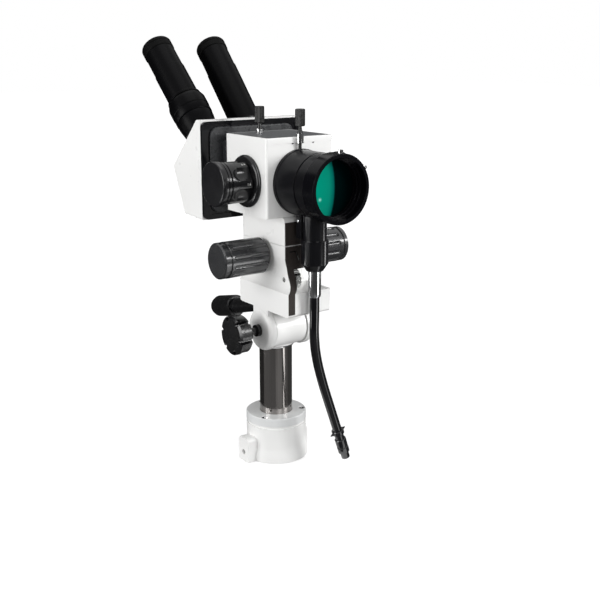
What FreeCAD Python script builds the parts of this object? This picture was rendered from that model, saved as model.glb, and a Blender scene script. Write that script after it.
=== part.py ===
import FreeCAD, Part
import math
import os

# A colposcope head on its stand pillar, in millimetres, +Z up.
# The origin is on the post's axis at the lower face of the stand head. The objective looks along -Y.

V = FreeCAD.Vector
AXIS_X = V(1, 0, 0)
AXIS_Y = V(0, 1, 0)
AXIS_Z = V(0, 0, 1)

# Clearances
fit_gap = 0.04          # radial clearance of a shaft in its bush
face_gap = 0.3          # between faces that turn or slide past each other
guide_gap = 0.15        # each side of the dovetail

# Stand head and post
head_foot_r = 33.0
head_r = 31.3
head_h = 37.1
head_neck_r = 30.0
head_neck_h = 3.0
ring_r = 31.5
ring_t = 8.8
stand_bore_r = 16.0
stand_bore_depth = 18.0
web_t = 4.0             # floor between the stand's bore and the post's chamber
bush_wall = 3.5
boss_half = 9.0
boss_round = 4.0
boss_top = 26.0
boss_reach_left = 41.5
boss_reach_right = 34.5
clamp_screw_r = 3.0
clamp_screw_z = 10.0
clamp_screw_sunk = 2.0
clamp_screw_socket_r = 1.5
clamp_screw_socket_depth = 2.5
ring_screw_count = 3
ring_screw_pcd = 54.6
ring_screw_r = 2.0
ring_screw_head_r = 3.2
ring_screw_head_h = 3.0
ring_screw_grip = 8.0
ring_screw_socket_r = 1.5
ring_screw_sunk = 0.5
post_r = 17.0
post_wall = 3.5
post_top = 127.0

# Tilt joint
tilt_y = -10.0
tilt_rise = 16.0        # the tilt axis above the post's top
barrel_r = 20.0
barrel_half = 18.0
collar_grip = 5.3
collar_h = 9.3
collar_lip_r = 18.4
tilt_shaft_r = 8.0
tilt_bush_wall = 3.0
tilt_bush_len = 11.0
washer_t = 1.1
washer_r = 15.0
washer_gap = 0.1
cheek_r = 21.4
cheek_out = 27.0
cheek_round = 5.0
cheek_web_half = 13.0
shaft_key = 6.0
shaft_head_r = 11.0
shaft_head_t = 3.0
shaft_head_round = 1.2

# Tilt clamp knob
stud_r = 3.5
stud_collar_r = 6.0
stud_collar_t = 4.0
stud_inner_end = -6.0
clamp_knob_r = 20.0
clamp_knob_reach = 18.0 # from the cheek to the knob
clamp_knob_t = 15.5
clamp_knob_cap_t = 4.5
clamp_knob_lobes = 6
clamp_knob_groove_r = 2.25
clamp_knob_groove_depth = 5.6
clamp_knob_start = 9.0  # turn of the first groove, in degrees

# Foot of the column
foot_half = 25.0
foot_front = -59.0
foot_rear = 27.5
foot_rise = 23.0        # the foot's lower face above the tilt axis
foot_h = 23.5
foot_lip = 0.9          # the sharp ledge stands this far past the foot's front
foot_round = 3.0
foot_lip_t = 2.4

# Rear handle
handle_root_y = 13.0
handle_root_rear = 23.0
handle_root_half = 8.0
handle_root_h = 12.0
handle_arm_root_r = 6.0
handle_arm_end_r = 8.5
handle_grip_r = 11.7
handle_grip_len = 44.0
handle_grip_taper = 9.0
handle_grip_tip_r = 3.2
handle_sink = 3.0       # how far the arm starts inside its root
handle_drop = 7.5       # the arm's start below the foot
handle_reach = 55.0
handle_fall = 13.0

# Focusing block
column_half = 20.0
column_front = -46.0
column_rear = 28.0
column_h = 44.5         # from the foot to the seam between the focusing block and the slider
neck_h = 32.5           # height in which the neck's front sweeps forward to the foot
neck_waist = 18.5
neck_shoulder = 23.5
neck_flare = 12.0
neck_flare_waist = 1.6
strip_w = 7.4           # the dark strip down the left front
cover_t = 0.8
cover_edge = 0.4
relief_r = 27.5         # hand relief beside the lock wheel
relief_h = 21.5
relief_x = 21.0
relief_y = -49.0
dovetail_top_half = 9.0
dovetail_bottom_half = 12.0
dovetail_h = 7.8
groove_wall = 2.5       # closed front end of the groove
focus_travel = 14.5
lock_r = 10.5
lock_x0 = -10.8
lock_t = 6.0
lock_y = -42.0
lock_rise = 10.9
lock_axle_r = 2.5
lock_axle_end = 1.0
lock_room = 0.5
lock_notches = 16

# Focus drive
focus_y = -9.6
focus_drop = 13.7       # the shaft below the seam
focus_shaft_r = 4.0
focus_bush_wall = 1.5
focus_flange_r = 9.0
focus_flange_t = 1.2
gear_module = 0.8
gear_teeth = 14
gear_angle = 20.0
gear_backlash = 0.12
gear_half = 3.6
rack_teeth = 12
rack_half = 3.8
rack_back = 2.2
focus_knob_r = 18.0
focus_knob_gap = 0.4
focus_knob_len = 53.0
focus_shaft_sink = 4.0
focus_knob_cap = 5.5
focus_knob_chamfer = 4.0
focus_knob_flutes = 12
focus_knob_flute_r = 2.6

# Slider
slider_h = 28.1
slider_round = 5.0

# Body box and lid
body_half = 38.6
body_front = -43.5
body_rear = 28.0
body_above = 37.3       # the body's top over the optical axis
body_wall = 3.5
body_edge = 2.5
lid_h = 5.6
lid_over = 0.7          # the lid stands past the body's front
lid_skin = 2.6
lid_plate_inset = 2.0
lid_plate_t = 0.8
optic_rise = 32.6       # the optical axis over the slider's top
beam_x = 12.0
beam_r = 7.0

# Magnification changer
changer_y = -9.6
drum_r = 18.6
drum_wall = 3.4
drum_half = 30.0
drum_end_t = 3.0
changer_shaft_r = 6.0
changer_flange_r = 25.2
changer_flange_t = 4.5
changer_bush_r = 9.5
changer_knob_gap = 0.5
changer_hub_r = 20.2
changer_hub_len = 22.4
changer_cap_r = 21.4
changer_cap_len = 11.3
changer_shaft_sink = 6.0
changer_scallops = 6
changer_scallop_r = 11.0
lens_t = 2.4

# Filter pull rods
rod_r = 1.6
rear_rod_x = -10.0
rear_rod_gap = 1.5      # the rear rod's axis behind the drum
front_rod_x = -2.5
front_rod_reach = 3.4   # the front rod's axis before the body
filter_t = 1.2
filter_disc_r = 8.6
filter_window_r = 7.3
rod_nut_r = 3.8
rod_nut_h = 4.0
rod_knob_r = 4.8
rod_knob_h = 16.0
rod_reach = 10.0        # from the lid to the pull knob
front_sleeve_r = 3.6
front_sleeve_h = 2.8

# Objective
objective_front = -107.7
objective_ring_len = 16.7
objective_ring_r = 32.6
objective_mouth_r = 28.9
objective_mouth_depth = 7.7
objective_rear_r = 31.6
objective_rear_len = 3.6
objective_barrel_r = 31.0
objective_nose_r = 30.4
objective_bore_r = 28.4
objective_lens_r = 26.9
objective_lens_t = 6.5
objective_lens_bulge = 2.4
objective_groove_y = -76.0
ring_lug_angles = (2.0, 58.0)

# Light port and light guide
port_y = -67.3
port_tube_r = 11.5
port_tube_drop = 52.4   # the drops are measured from the optical axis
port_collar_r = 13.2
port_collar_groove = 0.7
port_collar_drop = 75.9
port_nose_drop = 82.4
port_nose_r = 8.3
port_light_r = 4.4
ferrule_r = 6.3
ferrule_drop = 108.7
ferrule_seat_drop = 69.7
port_bracket_half = 11.0
port_bracket_y0 = -60.5
port_bracket_y1 = -50.5
port_bracket_drop = 51.7
hose_r = 4.75
hose_clip_back = 11.0
hose_clip_len = 5.0
hose_clip_r = 6.3
hose_clip_ear = 3.4
coupling_r = 5.9
coupling_len = 24.0
coupling_tip_r = 4.4

# Rear frame and binocular housing
frame_half = 58.9
frame_front = 39.1
frame_t = 3.2
frame_drop = 43.3
frame_rise = 53.8
frame_corner = 6.0
frame_rim = 5.0
frame_recess = 1.2
panel_half = 50.0
panel_low_edge = 6.6
panel_high_edge = 5.5
panel_corner = 9.0
panel_proud = 1.4
bridge_half = 36.0      # block between the body and the frame
bridge_drop = 30.7
bridge_rise = 35.3
bridge_round = 3.0
housing_low_edge = 0.4
housing_high_edge = 1.5
slope_top_y = 50.7
slope_low_y = 100.5
housing_low_y = 79.4
housing_wall = 3.0
prism_depth = 16.0
prism_size = 16.0

# Eyepiece tubes, measured along their axis from the sloped face
tube_x = 28.7
tube_y = 78.7
toe_angle = 2.18
tube_plate_half = 18.0
tube_plate_t = 2.2
tube_stub_r = 12.6
tube_bore_r = 11.4
tube_inner_r = 14.5
tube_neck_low_r = 15.4
tube_neck_high_r = 19.6
tube_neck_end = 33.2
tube_inner_len = 37.8
tube_r = 16.8
diopter_r = 20.6
diopter_len = 28.3
diopter_step_len = 9.8
sleeve_gap = 4.0
eyepiece_start = 100.3
eyepiece_r = 16.2
eyepiece_len = 26.0
eyecup_len = 12.0
eyecup_r = 16.8
eyecup_lip = 5.0
eye_lens_r = 12.2
eye_lens_sink = 8.2
ipd_inward = 6.5
ipd_outward = 3.5

# Derived places
ring_bottom = head_h + head_neck_h
ring_top = ring_bottom + ring_t
chamber_floor = stand_bore_depth + web_t
tilt_z = post_top + tilt_rise
collar_bottom = post_top - collar_grip
collar_top = collar_bottom + collar_h
cheek_in = barrel_half + washer_t + 2 * washer_gap
clamp_knob_in = -cheek_out - clamp_knob_reach
clamp_knob_out = clamp_knob_in - clamp_knob_t
foot_bottom = tilt_z + foot_rise
foot_top = foot_bottom + foot_h
handle_start = V(0, handle_root_rear - handle_sink, foot_bottom - handle_drop)
handle_end = handle_start + V(0, handle_reach, -handle_fall)
column_split = foot_top + column_h
neck_top = foot_top + neck_h
relief_top = foot_top + relief_h
groove_front = column_front + groove_wall
tongue_front = groove_front + focus_travel
tongue_bottom = column_split + face_gap - dovetail_h
lock_x1 = lock_x0 + lock_t
lock_z = foot_top + lock_rise
focus_z = column_split - focus_drop
focus_knob_in = column_half + focus_flange_t + focus_knob_gap
focus_knob_out = focus_knob_in + focus_knob_len
gear_r = gear_module * gear_teeth / 2.0
rack_line = focus_z + gear_r
slider_top = column_split + slider_h
optic_z = slider_top + optic_rise
body_top = optic_z + body_above
lid_top = body_top + lid_h
changer_knob_in = body_half + changer_flange_t + changer_knob_gap
changer_hub_end = changer_knob_in + changer_hub_len
rear_rod_y = changer_y + drum_r + rear_rod_gap
front_rod_y = body_front - front_rod_reach
rod_stem_top = lid_top + rod_reach
objective_ring_back = objective_front + objective_ring_len
port_tube_bottom = optic_z - port_tube_drop
port_collar_bottom = optic_z - port_collar_drop
port_nose_bottom = optic_z - port_nose_drop
port_bracket_bottom = optic_z - port_bracket_drop
ferrule_bottom = optic_z - ferrule_drop
ferrule_seat = optic_z - ferrule_seat_drop
frame_low = optic_z - frame_drop
frame_high = optic_z + frame_rise
housing_bottom = frame_low - housing_low_edge
housing_top = frame_high + housing_high_edge
slope_sum = slope_top_y + housing_top
tube_z = slope_sum - tube_y
tube_inner_end = tube_neck_end + tube_inner_len
diopter_end = tube_neck_end + diopter_len
diopter_step = tube_neck_end + diopter_step_len
sleeve_start = diopter_step + sleeve_gap
eyepiece_end = eyepiece_start + eyepiece_len
eyecup_end = eyepiece_end + eyecup_len
eye_lens_z = eyepiece_end - eye_lens_sink
hose_points = (
    V(0.0, port_y, ferrule_bottom),
    V(0.0, port_y, ferrule_bottom - 18.0),
    V(-0.6, port_y, ferrule_bottom - 38.0),
    V(2.2, port_y, ferrule_bottom - 62.0),
    V(10.4, port_y, ferrule_bottom - 91.0),
    V(21.8, port_y, ferrule_bottom - 123.0),
    V(33.4, port_y, ferrule_bottom - 156.0),
)


def box(x0, x1, y0, y1, z0, z1):
    """A box between two corners."""
    return Part.makeBox(x1 - x0, y1 - y0, z1 - z0, V(x0, y0, z0))


def rod_x(r, x0, x1, y, z):
    """A cylinder along X."""
    return Part.makeCylinder(r, x1 - x0, V(x0, y, z), AXIS_X)


def rod_y(r, y0, y1, x, z):
    """A cylinder along Y."""
    return Part.makeCylinder(r, y1 - y0, V(x, y0, z), AXIS_Y)


def rod_z(r, z0, z1, x=0.0, y=0.0):
    """A cylinder along Z."""
    return Part.makeCylinder(r, z1 - z0, V(x, y, z0), AXIS_Z)


def turned(profile, axis=AXIS_Z, origin=V(0, 0, 0)):
    """A turned solid from (place along the axis, radius) corners."""
    corners = [V(radius, 0, along) for along, radius in profile]
    face = Part.Face(Part.makePolygon(corners + [corners[0]]))
    solid = face.revolve(V(0, 0, 0), AXIS_Z, 360)
    solid.Placement = FreeCAD.Placement(origin, FreeCAD.Rotation(AXIS_Z, axis))
    return solid


def plate(corners, normal, thickness):
    """A flat outline pulled along its normal."""
    wire = Part.makePolygon(corners + [corners[0]])
    return Part.Face(wire).extrude(normal * thickness)


def joined(*shapes):
    """One solid from touching shapes."""
    result = shapes[0]
    for shape in shapes[1:]:
        result = result.fuse(shape)
    return result.removeSplitter()


def bored(shape, *cutters):
    """The shape less each cutter."""
    for cutter in cutters:
        shape = shape.cut(cutter)
    return shape


def round_edges(shape, radius, axis, keep=None):
    """Rounds the straight edges along an axis, all of them or those that keep accepts."""
    chosen = []
    for edge in shape.Edges:
        if edge.Curve.TypeId != "Part::GeomLine":
            continue
        direction = edge.tangentAt(edge.FirstParameter)
        if abs(abs(direction.dot(axis)) - 1) > 1e-6:
            continue
        if keep is None or keep(edge.CenterOfMass):
            chosen.append(edge)
    return shape.makeFillet(radius, chosen)


def around(shape, count, axis, centre, start=0.0):
    """Copies of a shape turned evenly about an axis."""
    copies = []
    for index in range(count):
        copy = shape.copy()
        copy.rotate(centre, axis, start + 360.0 * index / count)
        copies.append(copy)
    return copies


def mirrored_x(shape):
    """The shape on the other side of the plane X = 0."""
    return shape.mirror(V(0, 0, 0), AXIS_X)


def on_slope(shape, side, toe=0.0):
    """Places a shape made about +Z on the sloped face of the binocular housing."""
    lean = FreeCAD.Rotation(AXIS_X, -45).multiply(FreeCAD.Rotation(AXIS_Y, side * toe))
    placed = shape.copy()
    placed.Placement = FreeCAD.Placement(V(side * tube_x, tube_y, tube_z), lean)
    return placed


def lens(r, edge_t, bulge, axis, centre):
    """A lens with a flat back at the centre point and a bulged front along the axis."""
    sphere_r = (r * r + bulge * bulge) / (2 * bulge)
    disc = Part.makeCylinder(r, edge_t + bulge, V(0, 0, 0), AXIS_Z)
    ball = Part.makeSphere(sphere_r, V(0, 0, edge_t + bulge - sphere_r))
    shape = disc.common(ball)
    shape.Placement = FreeCAD.Placement(centre, FreeCAD.Rotation(AXIS_Z, axis))
    return shape


def stand_head(parts):
    """White casting that the stand's pillar carries, with the ring that holds the post's bush."""
    casting = turned([(0, 0), (0, head_foot_r), (6.0, head_foot_r), (16.0, head_r), (head_h, head_r),
                      (head_h, head_neck_r), (ring_bottom, head_neck_r), (ring_bottom, 0)])
    for side, reach in ((-1, boss_reach_left), (1, boss_reach_right)):
        boss = box(0, reach, -boss_half, boss_half, 0, boss_top)
        boss = round_edges(boss, boss_round, AXIS_X, lambda place: place.z > boss_top / 2)
        casting = casting.fuse(boss if side > 0 else mirrored_x(boss))
    bush_r = post_r + bush_wall
    screw_hole = rod_x(clamp_screw_r, -boss_reach_left - 1, boss_reach_right + 1, 0, clamp_screw_z)
    casting = bored(casting, rod_z(stand_bore_r, -1, stand_bore_depth), screw_hole,
                    rod_z(bush_r, chamber_floor, ring_bottom + 1))
    parts["stand_socket"] = casting.removeSplitter()
    parts["post_bush"] = bored(rod_z(bush_r, chamber_floor, ring_bottom),
                               rod_z(post_r + fit_gap, chamber_floor - 1, ring_bottom + 1))

    ring = turned([(ring_bottom, 0), (ring_bottom, ring_r), (ring_top - 0.8, ring_r), (ring_top, ring_r - 0.8),
                   (ring_top, 0)])
    ring = bored(ring, rod_z(post_r + face_gap, ring_bottom - 1, ring_top + 1))
    seat_z = ring_top - ring_screw_head_h
    screw_x = ring_screw_pcd / 2
    seat = rod_z(ring_screw_head_r + 0.3, seat_z, ring_top + 1, screw_x)
    shank = rod_z(ring_screw_r, ring_bottom - ring_screw_grip, seat_z + 1, screw_x)
    seats = around(joined(seat, shank), ring_screw_count, AXIS_Z, V(0, 0, 0), 90.0)
    parts["flange_ring"] = bored(ring, *seats)
    parts["stand_socket"] = bored(parts["stand_socket"], *seats)
    head = rod_z(ring_screw_head_r, seat_z, ring_top - ring_screw_sunk, screw_x)
    socket = rod_z(ring_screw_socket_r, ring_top - ring_screw_head_h + 0.8, ring_top, screw_x)
    screw = bored(joined(head, shank.common(rod_z(ring_screw_r, 0, seat_z, screw_x))), socket)
    parts["flange_screws"] = Part.makeCompound(around(screw, ring_screw_count, AXIS_Z, V(0, 0, 0), 90.0))

    screws = []
    for side, reach in ((-1, boss_reach_left), (1, boss_reach_right)):
        end = reach - clamp_screw_sunk
        screw = rod_x(clamp_screw_r, stand_bore_r + face_gap, end, 0, clamp_screw_z)
        socket = rod_x(clamp_screw_socket_r, end - clamp_screw_socket_depth, reach, 0, clamp_screw_z)
        screw = bored(screw, socket)
        screws.append(screw if side > 0 else mirrored_x(screw))
    parts["socket_clamp_screws"] = Part.makeCompound(screws)


def post(parts):
    """Steel post that swivels in the head and carries the cross barrel."""
    bottom = chamber_floor + 0.1
    tube = rod_z(post_r, bottom, post_top)
    parts["post_tube"] = bored(tube, rod_z(post_r - post_wall, bottom - 1, post_top + 1))

    barrel = rod_x(barrel_r, -barrel_half, barrel_half, tilt_y, tilt_z)
    collar = turned([(collar_bottom, 0), (collar_bottom, collar_lip_r), (collar_bottom + 4.0, barrel_r),
                     (collar_top - 3.0, barrel_r), (collar_top, barrel_r - 3.0), (collar_top, 0)])
    bush_r = tilt_shaft_r + tilt_bush_wall
    collar = collar.common(box(-barrel_half, barrel_half, -50, 50, 0, tilt_z))
    barrel = bored(joined(barrel, collar), rod_z(post_r, collar_bottom - 1, post_top),
                   rod_x(bush_r, -barrel_half - 1, barrel_half + 1, tilt_y, tilt_z))
    parts["tilt_barrel"] = barrel
    bushes = []
    for start in (-barrel_half, barrel_half - tilt_bush_len):
        end = start + tilt_bush_len
        bush = rod_x(bush_r, start, end, tilt_y, tilt_z)
        bushes.append(bored(bush, rod_x(tilt_shaft_r + fit_gap, start - 1, end + 1, tilt_y, tilt_z)))
    parts["tilt_bushes"] = Part.makeCompound(bushes)


def column_foot(parts):
    """White foot with two cheeks that hang beside the barrel, and the friction shaft through them."""
    foot = box(-foot_half, foot_half, foot_front, foot_rear, foot_bottom, foot_top)
    foot = round_edges(foot, foot_round, AXIS_X, lambda place: place.z < foot_top - 1)
    lip = plate([V(0, foot_front, foot_top), V(0, foot_front - foot_lip, foot_top),
                 V(0, foot_front, foot_top - foot_lip_t)], AXIS_X, 2 * foot_half - strip_w)
    lip.translate(V(strip_w - foot_half, 0, 0))
    cheek = rod_x(cheek_r, -cheek_out, -cheek_in, tilt_y, tilt_z)
    rim = [edge for edge in cheek.Edges if abs(edge.CenterOfMass.x + cheek_out) < 0.01]
    cheek = cheek.makeFillet(cheek_round, rim)
    far_cheek = rod_x(cheek_r, cheek_in, foot_half, tilt_y, tilt_z)
    web = box(cheek_in, foot_half, tilt_y - cheek_web_half, tilt_y + cheek_web_half, tilt_z, foot_bottom + 4.0)
    foot = joined(foot, lip, cheek, far_cheek, web, mirrored_x(web))
    key_end = cheek_in + shaft_key
    foot = bored(foot, rod_x(tilt_shaft_r, -key_end, foot_half + 1, tilt_y, tilt_z),
                 rod_x(stud_r + fit_gap, -cheek_out - 1, -cheek_in, tilt_y, tilt_z),
                 rod_x(stud_collar_r + 0.3, -cheek_out - 1, -cheek_out + 1.2, tilt_y, tilt_z))
    parts["column_foot"] = foot

    shaft = joined(rod_x(tilt_shaft_r, -key_end, foot_half, tilt_y, tilt_z),
                   rod_x(shaft_head_r, foot_half, foot_half + shaft_head_t, tilt_y, tilt_z))
    rim = [edge for edge in shaft.Edges if abs(edge.CenterOfMass.x - foot_half - shaft_head_t) < 0.01]
    shaft = shaft.makeFillet(1.2, rim)
    parts["tilt_shaft"] = bored(shaft, rod_x(stud_r + fit_gap, -key_end - 1, stud_inner_end + 1, tilt_y, tilt_z))
    washers = []
    for start in (-cheek_in + washer_gap, barrel_half + washer_gap):
        disc = rod_x(washer_r, start, start + washer_t, tilt_y, tilt_z)
        hole = rod_x(tilt_shaft_r + fit_gap, start - 1, start + washer_t + 1, tilt_y, tilt_z)
        washers.append(bored(disc, hole))
    parts["friction_washers"] = Part.makeCompound(washers)


def tilt_clamp(parts):
    """Star knob on a stud that draws the cheek against the barrel."""
    stud = joined(rod_x(stud_r, clamp_knob_in - 8.0, stud_inner_end, tilt_y, tilt_z),
                  rod_x(stud_collar_r, -cheek_out - stud_collar_t - face_gap, -cheek_out - face_gap, tilt_y, tilt_z))
    parts["tilt_stud"] = stud
    knob = turned([(0, 0), (0, clamp_knob_r - 2.5), (1.6, clamp_knob_r), (clamp_knob_cap_t, clamp_knob_r),
                   (clamp_knob_cap_t + 0.8, clamp_knob_r - 1.0), (clamp_knob_t - 2.0, clamp_knob_r - 1.0),
                   (clamp_knob_t, clamp_knob_r - 3.0), (clamp_knob_t, 0)], AXIS_X, V(clamp_knob_out, tilt_y, tilt_z))
    groove_y = tilt_y + clamp_knob_r - clamp_knob_groove_depth + clamp_knob_groove_r
    groove = rod_x(clamp_knob_groove_r, clamp_knob_out - 1, clamp_knob_in + 1, groove_y, tilt_z)
    mouth = box(clamp_knob_out - 1, clamp_knob_in + 1, groove_y, tilt_y + clamp_knob_r + 1,
                tilt_z - clamp_knob_groove_r, tilt_z + clamp_knob_groove_r)
    centre = V(0, tilt_y, tilt_z)
    for cutter in around(joined(groove, mouth), clamp_knob_lobes, AXIS_X, centre, clamp_knob_start):
        knob = knob.cut(cutter)
    parts["tilt_knob"] = bored(knob, rod_x(stud_r, clamp_knob_in - 8.0, clamp_knob_in + 1, tilt_y, tilt_z))


def handle(parts):
    """Black aiming handle behind the foot."""
    way = (handle_end - handle_start).normalize()
    length = handle_start.distanceToPoint(handle_end)
    root = box(-handle_root_half, handle_root_half, handle_root_y, handle_root_rear, foot_bottom - handle_root_h,
               foot_bottom)
    root = round_edges(root, 2.0, AXIS_X, lambda place: place.z < foot_bottom - 1)
    arm = Part.makeCone(handle_arm_root_r, handle_arm_end_r, length, handle_start, way)
    parts["handle_arm"] = joined(root, arm)
    taper = handle_grip_taper
    narrowing = handle_grip_r - handle_grip_tip_r
    grip = turned([(0, 0), (0, handle_grip_r - 1.0), (1.0, handle_grip_r), (handle_grip_len - taper, handle_grip_r),
                   (handle_grip_len - taper / 2, handle_grip_r - 0.19 * narrowing),
                   (handle_grip_len - 0.16 * taper, handle_grip_r - 0.54 * narrowing),
                   (handle_grip_len, handle_grip_tip_r), (handle_grip_len, 0)], way, handle_end)
    parts["handle_grip"] = grip


def dovetail(top_half, bottom_half, z_top, z_bottom, y0, y1):
    """A tongue that widens downwards."""
    corners = [V(-top_half, y0, z_top), V(top_half, y0, z_top), V(bottom_half, y0, z_bottom),
               V(-bottom_half, y0, z_bottom)]
    return plate(corners, AXIS_Y, y1 - y0)


def neck_front_cut():
    """Space before the neck, whose front sweeps forward from the block down to the foot."""
    forward = column_front - foot_front
    sweep = 2 * math.atan(forward / neck_h)
    radius = neck_h / math.sin(sweep)
    top = V(-foot_half - 1, column_front, neck_top)
    middle = V(-foot_half - 1, column_front - radius * (1 - math.cos(sweep / 2)),
               neck_top - radius * math.sin(sweep / 2))
    low = V(-foot_half - 1, foot_front, foot_top)
    before_low = V(-foot_half - 1, foot_front - 5, foot_top)
    before_top = V(-foot_half - 1, foot_front - 5, neck_top)
    outline = Part.Wire([
        Part.Arc(top, middle, low).toShape(),
        Part.LineSegment(low, before_low).toShape(),
        Part.LineSegment(before_low, before_top).toShape(),
        Part.LineSegment(before_top, top).toShape(),
    ])
    return Part.Face(outline).extrude(V(2 * foot_half + 2, 0, 0))


def flare_line(side, inset):
    """One side line of the neck, from the foot up to the block, moved inwards by the inset."""
    foot = V(side * (foot_half - inset), foot_front, foot_top)
    bend = V(side * (neck_waist + neck_flare_waist - inset), foot_front, foot_top + 0.38 * neck_flare)
    waist = V(side * (neck_waist - inset), foot_front, foot_top + neck_flare)
    shoulder = V(side * (neck_waist - inset), foot_front, foot_top + neck_shoulder)
    top = V(side * (column_half - inset), foot_front, neck_top)
    edges = [Part.Arc(foot, bend, waist).toShape(), Part.LineSegment(waist, shoulder).toShape(),
             Part.LineSegment(shoulder, top).toShape()]
    return edges, foot, top


def neck_blank(left, right):
    """The neck between two side lines, with its swept front."""
    left_edges, left_foot, left_top = left
    right_edges, right_foot, right_top = right
    closing = [Part.LineSegment(left_top, right_top).toShape(), Part.LineSegment(right_foot, left_foot).toShape()]
    outline = Part.Wire(Part.__sortEdges__(left_edges + right_edges + closing))
    return Part.Face(outline).extrude(V(0, foot_rear - foot_front, 0)).cut(neck_front_cut())


def focus_housing(parts):
    """White focusing block on a neck that flares to the foot, with the dovetail groove and the pinion's chamber."""
    block = box(-column_half, column_half, column_front, column_rear, neck_top, column_split)
    neck = neck_blank(flare_line(-1, 0.0), flare_line(1, 0.0))
    relief = rod_z(relief_r, foot_top, relief_top, relief_x, relief_y)
    body = joined(block, neck.cut(relief))
    groove = dovetail(dovetail_top_half + guide_gap, dovetail_bottom_half + guide_gap, column_split + 1,
                      tongue_bottom - guide_gap, groove_front, column_rear + 1)
    gear_room = gear_r + gear_module + 1.2
    chamber = box(-gear_half - 2.0, gear_half + 2.0, focus_y - gear_room, focus_y + gear_room,
                  focus_z - gear_room, column_split)
    rack_low = rack_line - gear_module
    channel = box(-rack_half - 0.8, rack_half + 0.8, groove_front, column_rear + 1, rack_low - 0.4, column_split)
    bush_r = focus_shaft_r + focus_bush_wall
    shaft_way = rod_x(bush_r, -column_half - 1, column_half + 1, focus_y, focus_z)
    wheel_slot = box(lock_x0 - lock_room, lock_x1 + lock_room, foot_front - 3, lock_y + lock_r + lock_room, foot_top,
                     lock_z + lock_r + lock_room)
    axle_way = rod_x(lock_axle_r + fit_gap, -neck_waist - 2, lock_x1 + lock_axle_end, lock_y, lock_z)
    parts["focus_housing"] = bored(body, groove, chamber, channel, shaft_way, wheel_slot, axle_way)

    bushes = []
    for side in (-1, 1):
        start = gear_half + 2.4
        bush = joined(rod_x(bush_r, start, column_half, focus_y, focus_z),
                      rod_x(focus_flange_r, column_half, column_half + focus_flange_t, focus_y, focus_z))
        bush = bored(bush, rod_x(focus_shaft_r + fit_gap, 0, column_half + 5, focus_y, focus_z))
        bushes.append(bush if side > 0 else mirrored_x(bush))
    parts["focus_bushes"] = Part.makeCompound(bushes)

    cover = box(-column_half + cover_edge, column_half - cover_edge, column_front - cover_t, column_front, neck_top,
                column_split - cover_edge)
    skin = neck.copy()
    skin.translate(V(0, -cover_t, 0))
    skin = skin.cut(neck)
    apron = skin.common(box(-column_half, column_half, foot_front - cover_t, column_front, relief_top, neck_top))
    band = neck_blank(flare_line(-1, 0.0), flare_line(-1, strip_w))
    band.translate(V(0, -cover_t, 0))
    band = skin.common(band)
    foot_strip = box(-foot_half, -foot_half + strip_w, foot_front - cover_t, foot_front, foot_bottom + foot_round,
                     foot_top)
    parts["column_cover"] = joined(cover, apron, band, foot_strip)

    wheel = rod_x(lock_r, lock_x0, lock_x1, lock_y, lock_z)
    notch = rod_x(1.0, lock_x0 - 1, lock_x1 + 1, lock_y + lock_r + 0.35, lock_z)
    for cutter in around(notch, lock_notches, AXIS_X, V(0, lock_y, lock_z)):
        wheel = wheel.cut(cutter)
    axle = rod_x(lock_axle_r, -neck_waist + 0.2, lock_x1 + lock_axle_end, lock_y, lock_z)
    parts["lock_wheel"] = joined(wheel, axle)


def involute(base_r, tip_r, start_angle, side, steps=5):
    """Corners along one flank of a gear tooth, from its base circle to its tip."""
    corners = []
    for index in range(steps + 1):
        radius = base_r + (tip_r - base_r) * index / steps
        roll = math.sqrt((radius / base_r) ** 2 - 1)
        angle = start_angle + side * (roll - math.atan(roll))
        corners.append((radius, angle))
    return corners


def pinion_shape():
    """A spur pinion about the focus shaft, with a tooth space straight up at rest."""
    pressure = math.radians(gear_angle)
    base_r = gear_r * math.cos(pressure)
    tip_r = gear_r + 0.95 * gear_module
    root_r = gear_r - 1.15 * gear_module
    involute_part = math.tan(pressure) - pressure
    half_tooth = math.pi / (2 * gear_teeth) - gear_backlash / (4 * gear_r)
    half_base = half_tooth + involute_part
    corners = []
    for tooth in range(gear_teeth):
        middle = math.pi / 2 + 2 * math.pi * (tooth + 0.5) / gear_teeth
        rising = involute(base_r, tip_r, middle - half_base, 1)
        falling = involute(base_r, tip_r, middle + half_base, -1)
        flank = [(root_r, middle - half_base)] + rising + falling[::-1] + [(root_r, middle + half_base)]
        corners += [V(-gear_half, focus_y + radius * math.cos(angle), focus_z + radius * math.sin(angle))
                    for radius, angle in flank]
    return plate(corners, AXIS_X, 2 * gear_half)


def rack_shape():
    """The rack under the slider's tongue, its teeth downwards, one tooth over the pinion's axis at rest."""
    pitch = math.pi * gear_module
    slope = math.tan(math.radians(gear_angle))
    tip_z = rack_line - 0.65 * gear_module
    root_z = rack_line + 1.1 * gear_module
    half_at_line = pitch / 4 - gear_backlash / 4
    half_tip = half_at_line - (rack_line - tip_z) * slope
    half_root = half_at_line + (root_z - rack_line) * slope
    first = focus_y - pitch * (rack_teeth // 2 - 2)
    top_z = tongue_bottom + rack_back
    corners = [V(-rack_half, first - pitch / 2, top_z)]
    corners.append(V(-rack_half, first - pitch / 2, root_z))
    for tooth in range(rack_teeth):
        middle = first + pitch * tooth
        corners.append(V(-rack_half, middle - half_root, root_z))
        corners.append(V(-rack_half, middle - half_tip, tip_z))
        corners.append(V(-rack_half, middle + half_tip, tip_z))
        corners.append(V(-rack_half, middle + half_root, root_z))
    end = first + pitch * (rack_teeth - 0.5)
    corners.append(V(-rack_half, end, root_z))
    corners.append(V(-rack_half, end, top_z))
    return plate(corners, AXIS_X, 2 * rack_half), first - pitch / 2, end


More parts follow.
